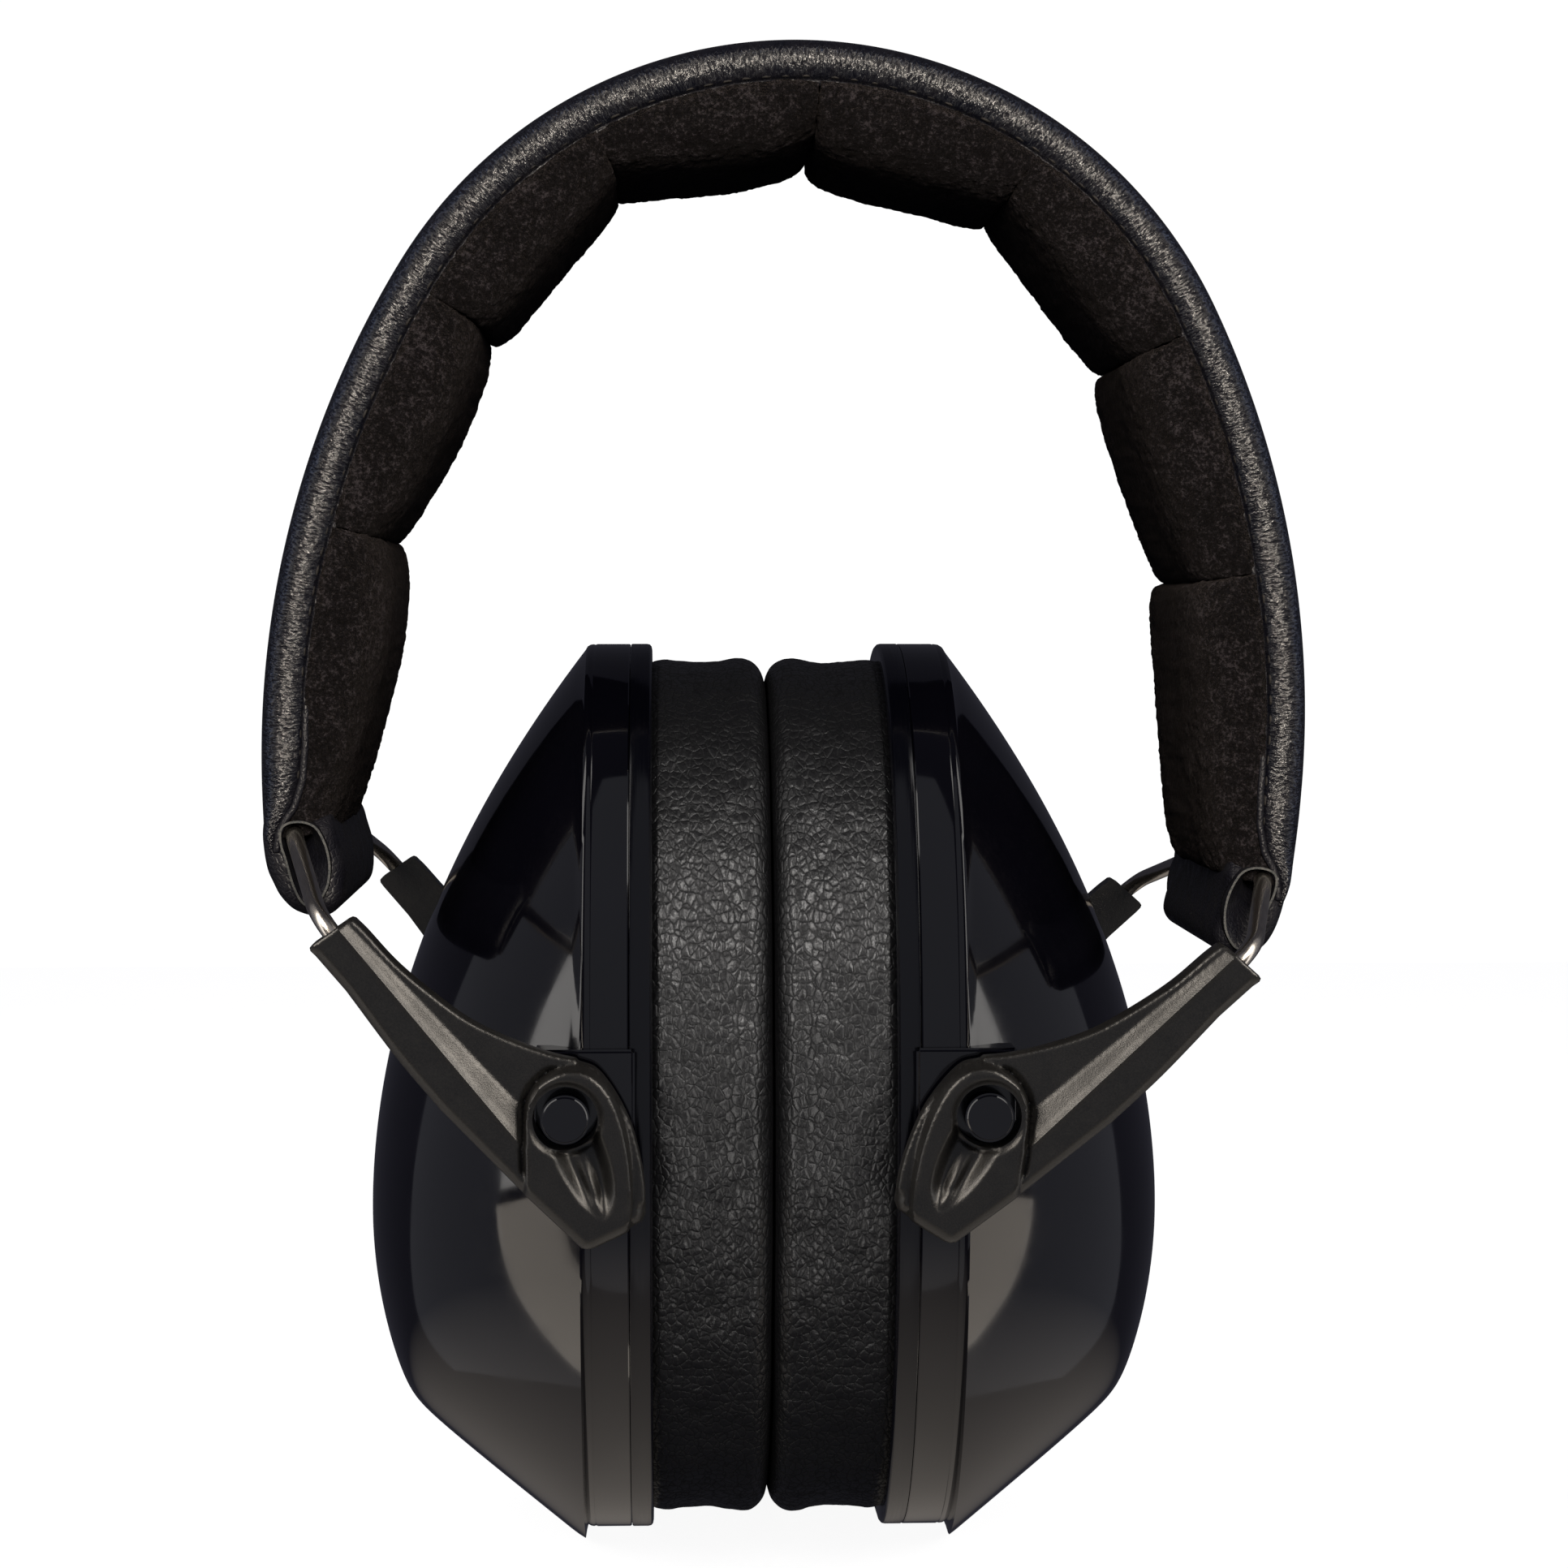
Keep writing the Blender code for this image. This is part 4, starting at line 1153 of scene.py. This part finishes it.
def arm_relief(x, z):
    """How far the arm's front face lies behind its highest plane at each point."""
    rim = distance_to_path(x, z, ARM_OUTLINE)
    ridge = distance_to_line(x, z, FACET_LOW)
    web = np.clip(distance_to_line(x, z, FACET_HIGH), 0, None)
    facet = 0.62 * np.clip(ridge - web, 0, 3.4)
    low = 0.55 + facet + 0.22 * step_between(web, 0.0, 0.22) + 0.12 * web
    low = low - 0.16 * np.exp(-(ridge / 0.28) ** 2)
    plate = signed_inside(x, z, PLATE_EDGE + [(6.6, -13.4), (-4.5, -13.4)])
    edge = np.abs(distance_to_path(x, z, PLATE_EDGE, closed=False))
    groove = 0.45 * np.exp(-((edge + 0.35 * np.sign(plate)) / 0.30) ** 2)
    top = 0.16 * np.exp(-((plate - 0.1) / 0.3) ** 2) * (edge < 1.2)
    low = low + groove * (plate < 0.05) * step_between(rim, 0.9, 1.8)
    low = low * (1 - step_between(plate, -0.12, 0.12)) + top * step_between(plate, -0.12, 0.12)
    hole = np.hypot(x, z)
    low = low + 0.45 * (1 - step_between(hole, 3.35, 4.1))
    dip = signed_inside(x, z, SCOOP)
    along = np.clip((-z - 1.0) / 9.4, 0, 1)
    trough = step_between(dip, 0.0, 1.7) * (1.2 + 0.8 * (1 - along))
    middle = x - (0.7 + 3.0 * along)
    crest = 0.9 * np.exp(-(middle / 0.75) ** 2) * step_between(dip, 0.2, 1.4) * step_between(along, 0.15, 0.7)
    low = low + np.clip(trough - crest, 0, None)
    lower_edge = distance_to_path(x, z, ARM_OUTLINE[3:24], closed=False)
    low = low + 1.0 * np.clip(1.0 - lower_edge / 1.1, 0, 1) ** 1.4
    return np.clip(low + quarter_round(rim, 0.32), 0, 4.3)


def arm(side, sign, way, look):
    """One moulded arm: facetted bar, raised hub plate, scoop, pin hole and socket."""
    hole = circle((0, 0), 3.3, 0, 350, 36)
    creases = [FACET_LOW, FACET_HIGH]
    creases += [[(a * k, b * k) for a, b in PLATE_EDGE] for k in (0.985, 1.015)]
    node = f"{side}_{face_name(way)}_arm"
    made = relief_solid(node + "_plastic", ARM_OUTLINE, [hole], creases, 0.24,
                        lambda a, b: way * (ARM_FRONT - arm_relief(a, b)),
                        lambda a, b: np.full(len(a), way * ARM_BACK),
                        lambda a, b: arm_place(side, sign, a, b), look)
    x, z = arm_place(side, sign, *ARM_MOUTH)
    mouth = Vector((x, way * ARM_Y, z))
    bore = cylinder("bore", mouth - SOCKETS[side] * 3, mouth + SOCKETS[side] * 24, 1.25, look, 24)
    boolean(made, bore, "DIFFERENCE")
    return fasten(sharpen(made, 52), node, "arm", side + "_arms")


def dense(outline, step, closed=True):
    """Adds points so that no edge of an outline is longer than step."""
    out = []
    path = list(outline) + ([outline[0]] if closed else [])
    for (ax, az), (bx, bz) in zip(path, path[1:]):
        count = max(1, int(math.hypot(bx - ax, bz - az) / step))
        out += [(ax + (bx - ax) * k / count, az + (bz - az) * k / count) for k in range(count)]
    return out if closed else out + [tuple(path[-1])]


# ---- cups --------------------------------------------------------------------------

def oval(half_height, half_width, centre_z, power, count):
    """A superellipse in Y and Z as an array, cut flat at the floor."""
    a = 2 * math.pi * (np.arange(count) + 0.5) / count
    y = half_width * np.sign(np.cos(a)) * np.abs(np.cos(a)) ** (2 / power)
    z = centre_z + half_height * np.sign(np.sin(a)) * np.abs(np.sin(a)) ** (2 / power)
    return np.stack([y, np.maximum(z, 0.02)], -1)


def rim_oval(inset, count):
    centre = CUP_HEIGHT / 2 - CUP_FLAT / 2
    return oval(CUP_HEIGHT / 2 + CUP_FLAT / 2 - inset, CUP_HALF_WIDTH - inset, centre, OVAL_POWER, count)


def cup_ring(side_x, outline, sign):
    """A ring at a distance from the cup plane, on the cup's own side."""
    x = np.full((len(outline), 1), CUP_PLANE_X + sign * side_x)
    return np.concatenate([x, outline], 1)


def dome_ring(depth, wall, sign, count):
    left = math.sqrt(max(0.0, 1 - depth / DOME_DEPTH))
    top = DOME_APEX_Z + (CUP_HEIGHT - 0.2 - DOME_APEX_Z) * left
    under = DOME_APEX_Z - DOME_FALL_BELOW * left
    chin = CHIN_START[0] + (depth - CHIN_START[1]) / CHIN_SLOPE
    low = min((under + chin + math.sqrt((under - chin) ** 2 + 6.0)) / 2, top)
    half = max((top - low) / 2 - wall, 0.15)
    wide = max(CUP_HALF_WIDTH * left ** 0.9 - 0.1 - wall, 0.15)
    power = OVAL_POWER + (2.0 - OVAL_POWER) * depth / DOME_DEPTH
    outline = oval(half, wide, (top + low) / 2, power, count)
    return cup_ring(SHELL_RIM + depth - wall, outline, sign)


def dome_depths(first, last, count):
    shares = np.linspace(1 - math.sqrt(1 - first / DOME_DEPTH), 1 - math.sqrt(1 - last / DOME_DEPTH), count)
    return DOME_DEPTH * (1 - (1 - shares) ** 2)


def cup_shell(side, sign, look):
    """The glossy shell with its stepped rim, trunnion pads and pins."""
    count = 144
    rim = [(RING_BACK + 0.05, 0.30), (RING_BACK + 0.07, 0.10), (RING_BACK + 0.20, 0.02),
           (SHELL_RIM - 0.95, 0.02), (SHELL_RIM - 0.75, 0.10), (SHELL_RIM - 0.55, 0.04),
           (SHELL_RIM - 0.2, 0.08), (SHELL_RIM + 0.12, 0.26)]
    rings = [cup_ring(x, rim_oval(inset, count), sign) for x, inset in rim]
    rings += [dome_ring(d, 0.0, sign, count) for d in dome_depths(0.35, 24.69, DOME_RINGS)]
    rings += [dome_ring(d, SHELL_WALL, sign, count) for d in dome_depths(3.0, 24.4, 20)[::-1]]
    for x, inset in ((0.35, 4.1), (0.25, 3.9)):
        rings.append(cup_ring(RING_BACK + x, rim_oval(inset, count), sign))
    points = np.array(rings)
    rows, columns = points.shape[:2]
    faces = []
    apex = len(rim) + DOME_RINGS - 1
    for r in range(rows):
        nxt = (r + 1) % rows
        if r == apex:
            faces.append(tuple(r * columns + c for c in range(columns)))
            faces.append(tuple(nxt * columns + c for c in range(columns)))
            continue
        for c in range(columns):
            d = (c + 1) % columns
            faces.append((r * columns + c, r * columns + d, nxt * columns + d, nxt * columns + c))
    made = face_outwards(object_from(side + "_cup_shell_gloss", points.reshape(-1, 3), faces, look))
    pin = PINS[side]
    for way in (-1, 1):
        boolean(made, trunnion_pad(side, sign, way, look), "UNION")
        foot = Vector((pin.x, way * 38.0, pin.z))
        tip = Vector((pin.x, way * PIN_END_Y, pin.z))
        boolean(made, cylinder("pin", foot, tip, PIN_RADIUS, look, 56, 0.3), "UNION")
    return fasten(sharpen(made, 30), side + "_cup_shell", "shell", side + "_cup")


def trunnion_pad(side, sign, way, look):
    """The flat rectangular pad that a pin stands on."""
    pin = PINS[side]
    bm = bmesh.new()
    bmesh.ops.create_cube(bm, size=1.0)
    bmesh.ops.scale(bm, vec=Vector(TRUNNION_SIZE) * MM, verts=bm.verts)
    bmesh.ops.bevel(bm, geom=list(bm.edges), offset=0.35 * MM, segments=3, affect="EDGES")
    y = TRUNNION_FACE_Y - TRUNNION_SIZE[1] / 2
    centre = Vector((pin.x - sign * 1.75, way * y, pin.z - 1.35)) * MM
    bmesh.ops.translate(bm, vec=centre, verts=bm.verts)
    return from_bmesh("pad", bm, look)


def seat_ring(side, sign, look):
    """The snap-in ring under the cushion, with rounded edges."""
    inner = CUSHION_INSET + CUSHION_WIDTH
    low = RING_FACE
    high = RING_BACK
    section = [(low, 0.7), (low + 0.08, 0.3), (low + 0.28, 0.07), (low + 0.6, 0.0),
               (high - 0.14, 0.0), (high - 0.02, 0.08), (high, 0.30), (high, inner - 0.4),
               (high - 0.15, inner - 0.1), (low + 0.3, inner - 0.1), (low, inner - 0.4), (low, 8.0)]
    points = np.array([cup_ring(x, rim_oval(inset, 160), sign) for x, inset in section])
    made = sharpen(grid_object(side + "_seat_ring_gloss", points, look, wrap_rows=True), 35)
    return fasten(made, side + "_seat_ring", "ring", side + "_cup")


def cushion_profile():
    """The cushion's section as (distance from the cup plane, inset from the rim)."""
    back = RING_FACE + 0.1
    width = CUSHION_WIDTH
    outer = [(back, 0.45), (12.2, 0.25), (11.0, 0.20), (9.0, 0.42), (7.0, 0.50), (5.2, 0.36), (3.8, 0.10),
             (2.8, 0.0), (1.9, 0.14), (1.1, 0.62), (0.5, 1.35), (0.16, 2.3), (0.06, 3.3), (0.05, 5.0)]
    inner = [(0.05, width * 0.5), (0.2, width - 4.2), (0.9, width - 2.1),
             (2.2, width - 0.6), (4.0, width), (7.5, width - 0.3), (back - 0.3, width - 0.1)]
    line = [(p.x, p.y) for p in smooth_path([(a, b, 0) for a, b in outer + inner], 4)]
    rear = [(back, width - 1.0), (back, width * 0.7), (back, width * 0.4), (back, 2.0)]
    return np.array(line + rear)


def cushion(side, sign, look):
    """The leatherette ear cushion, crowned, creased and slightly waisted."""
    section = cushion_profile()
    count = 520
    outlines = [rim_oval(CUSHION_INSET + inset, count) for _, inset in section]
    points = np.array([cup_ring(x, line, sign) for (x, _), line in zip(section, outlines)])
    points = points.transpose(1, 0, 2)
    reach = np.abs(points.reshape(-1, 3)[:, 0] - CUP_PLANE_X)
    free = np.clip((RING_FACE + 0.1 - reach) / 1.5, 0, 1)
    touching = np.clip((2.2 - reach) / 2.0, 0, 1)
    made = grid_object(side + "_cushion_leather", points, look, wrap_rows=True)
    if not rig.quick():
        settle(made, 1 - free * (1 - touching) * 0.97, 0.8, 8, 0.35)
    mask = free * (1 - 0.8 * touching)
    for amount, size, seed in ((0.22, 9.0, 61), (0.13, 2.4, 71), (0.07, 0.95, 81)):
        roughen(made, amount, size, seed + sign, mask)
    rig.padded(made, fill=0.8)
    return squeezed(fasten(made, side + "_cushion", "cushion", side + "_cup"), side, sign)


def squeezed(made, side, sign):
    """Flattens a cushion towards its ring as its arms slide out."""
    anchor = (CUP_PLANE_X + sign * RING_FACE) * MM
    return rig.squash(made, side + "_arm_slide", axis=(1, 0, 0), anchor=(anchor, 0, 0), keep=0.5)


def cushion_foam(side, sign, look):
    """The foam ring inside the cushion."""
    back = RING_FACE - 0.8
    section = [(back, 2.0), (back - 4.0, 2.4), (back - 8.0, 1.8), (back - 10.2, 3.2), (back - 10.7, 6.0),
               (back - 10.6, 10.5), (back - 9.5, 13.2), (back - 7.0, 14.2), (back, 14.2)]
    points = np.array([cup_ring(x, rim_oval(CUSHION_INSET + inset, 96), sign) for x, inset in section])
    made = grid_object(side + "_cushion_foam_ring", points, look, wrap_rows=True)
    roughen(made, 0.12, 1.2, 91 + sign)
    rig.padded(made, fill=0.9)
    return squeezed(fasten(made, side + "_cushion_foam", "foam", side + "_cup"), side, sign)


def absorber(side, sign, look):
    """The dished foam pad in the bottom of the cup."""
    count = 112
    wall = SHELL_WALL + 0.6
    rings = [dome_ring(d, wall, sign, count) for d in dome_depths(14.0, 23.4, 14)[::-1]]
    front = rings[-1]
    middle = front.mean(0)
    rings = rings[:-1]
    for share, rise in ((1.0, 0.0), (0.985, -0.6), (0.95, -1.0), (0.85, -1.2), (0.7, -1.0), (0.5, -0.5),
                        (0.3, 0.0), (0.12, 0.3)):
        ring = middle + (front - middle) * share
        ring[:, 0] = front[:, 0] + sign * rise
        rings.append(ring)
    made = grid_object(side + "_absorber_foam", np.array(rings), look)
    roughen(made, 0.2, 1.6, 95 + sign)
    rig.padded(made, fill=0.5)
    return fasten(made, side + "_absorber", "foam", side + "_cup")


# ---- studio --------------------------------------------------------------------------

CAMERA_PLACE = (-13.57, -386.48, 103.46)
CAMERA_AIM = (0.43, 0.0, 83.53)
CAMERA_LENS = 77.9
FLOOR_REACH = 0.6
FLOOR_Z = -0.0002


def camera():
    data = bpy.data.cameras.new("camera")
    place = Vector(CAMERA_PLACE) * MM
    aim = Vector(CAMERA_AIM) * MM
    data.sensor_width = 36.0
    data.lens = CAMERA_LENS
    made = placed("camera", data)
    made.location = place
    made.rotation_euler = (aim - place).to_track_quat("-Z", "Y").to_euler()
    bpy.context.scene.camera = made


def softbox(name, place, aim, size, radiance, colour, lit=None, spread=180.0):
    """A rectangular area light; place, aim and size are in millimetres.

    Radiance is its brightness face on. lit names the pieces it is kept to.
    """
    data = bpy.data.lights.new(name, "AREA")
    data.shape = "RECTANGLE"
    data.size = size[0] * MM
    data.size_y = size[1] * MM
    data.energy = radiance * math.pi * data.size * data.size_y
    data.color = colour
    data.spread = math.radians(spread)
    made = placed(name, data)
    made.location = Vector(place) * MM
    made.rotation_euler = (Vector(aim) * MM - made.location).to_track_quat("-Z", "Y").to_euler()
    made.visible_camera = False
    if lit is not None:
        made.light_linking.receiver_collection = lit
    return made


def group(name, words):
    """A collection of the pieces whose names hold one of the words."""
    made = bpy.data.collections.new(name)
    for piece in bpy.context.scene.objects:
        if piece.type == "MESH" and any(word in piece.name for word in words):
            made.objects.link(piece)
    return made


def world():
    """White to the eye and dim to the object, as on a lit cut-out table."""
    made = bpy.data.worlds.new("studio")
    bpy.context.scene.world = made
    made.use_nodes = True
    nodes = made.node_tree.nodes
    links = made.node_tree.links
    nodes.clear()
    path = nodes.new("ShaderNodeLightPath")
    seen = nodes.new("ShaderNodeBackground")
    seen.inputs["Color"].default_value = (1, 1, 1, 1)
    seen.inputs["Strength"].default_value = 1.05
    fill = nodes.new("ShaderNodeBackground")
    fill.inputs["Color"].default_value = (0.66, 0.66, 0.86, 1)
    fill.inputs["Strength"].default_value = 0.045
    mix = nodes.new("ShaderNodeMixShader")
    out = nodes.new("ShaderNodeOutputWorld")
    links.new(path.outputs["Is Camera Ray"], mix.inputs["Fac"])
    links.new(fill.outputs["Background"], mix.inputs[1])
    links.new(seen.outputs["Background"], mix.inputs[2])
    links.new(mix.outputs["Shader"], out.inputs["Surface"])


def studio():
    warm = (1.0, 0.90, 0.78)
    cool = (0.50, 0.62, 1.0)
    plain = (1.0, 0.97, 0.94)
    grey = (0.90, 0.92, 1.0)
    band = group("band_pieces", ("_cover_leather", "seam", "stitches", "_plush", "_end_tab", "_loop_lining"))
    arms = group("arm_pieces", ("_arm_plastic", "_bail_wire"))
    soft = group("cushion_pieces", ("_cushion_leather",))
    hard = group("hard_pieces", ("_gloss", "_arm_plastic", "_bail_wire", "_loop_lining"))
    softbox("front_panel", (0, -640, 860), (0, 0, 860), (1100, 2600), 0.21, grey, hard)
    softbox("band_front", (0, -640, 260), (0, 0, 110), (200, 160), 105.0, warm, band)
    softbox("band_top", (0, -330, 700), (0, 0, 110), (420, 160), 8.0, warm, band)
    for side, sign in SIDES:
        softbox(side + "_wall", (sign * 600, 118, 350), (0, 118, 350), (365, 1600), 0.14, grey, hard)
        softbox(side + "_strip", (sign * 590, -150, 560), (0, -150, 560), (170, 1280), 2.0, plain)
        softbox(side + "_low_strip", (sign * 590, -120, -330), (0, -120, -330), (130, 460), 1.4, warm)
        softbox(side + "_diagonal", (sign * 430, -290, 420), (0, 0, 70), (300, 260), 12.0, warm, arms)
        softbox(side + "_rim", (sign * 520, 120, 330), (0, 0, 110), (120, 420), 2.2, cool, band)
        softbox(side + "_cushion_high", (sign * 300, -540, 430), (0, 0, 70), (70, 220), 66.0, plain, soft)
        softbox(side + "_cushion_low", (sign * 300, -540, -60), (0, 0, 60), (60, 420), 15.0, plain, soft)
    softbox("bounce", (0, -60, -1), (0, -60, 100), (1200, 760), 0.32, warm, hard, 130.0)
    bpy.context.scene.view_settings.view_transform = "Standard"
    bpy.context.scene.view_settings.look = "None"


def floor():
    corners = [(-1, -1), (1, -1), (1, 1), (-1, 1)]
    mesh = bpy.data.meshes.new("floor")
    mesh.from_pydata([(x * FLOOR_REACH, y * FLOOR_REACH, FLOOR_Z) for x, y in corners], [], [(0, 1, 2, 3)])
    mesh.materials.append(floor_look())
    made = placed("floor", mesh)
    made.visible_glossy = False
    made.visible_diffuse = False
    made.visible_shadow = False
    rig.stage(made)


# ---- assembly --------------------------------------------------------------------------

def build_band():
    cover = leather_cover()
    thread = thread_look()
    pile = plush()
    spring = strip_steel()
    tab = leather_tab()
    edge = raw_edge()
    for side, sign in SIDES:
        cover_half(side, sign, cover)
        strip_half(side, sign, spring)
        for way in (-1, 1):
            seam_welt(side, sign, way, tab)
            seam_stitches(side, sign, way, thread)
        tab_body(side, sign, tab)
        tab_liner(side, sign, edge, tab)
        for number in (range(1, 5) if sign < 0 else range(5, 9)):
            lining_pad(number, side, sign, pile)


def build_cups():
    shell = gloss_shell()
    ring = gloss_ring()
    leather = leather_cushion()
    foam = foam_look()
    plastic = satin_arm()
    steel = wire_steel()
    for side, sign in SIDES:
        bail(side, sign, steel)
        for way in (-1, 1):
            arm(side, sign, way, plastic)
        cup_shell(side, sign, shell)
        seat_ring(side, sign, ring)
        cushion(side, sign, leather)
        cushion_foam(side, sign, foam)
        absorber(side, sign, foam)


camera()
world()
floor()
build_band()
build_cups()
studio()

with open("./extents.json", "w") as out:
    boxes = {"cad": CAD_BOX, "visual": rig.bounds()}
    json.dump({name: [[float(c) for c in corner] for corner in box] for name, box in boxes.items()}, out)
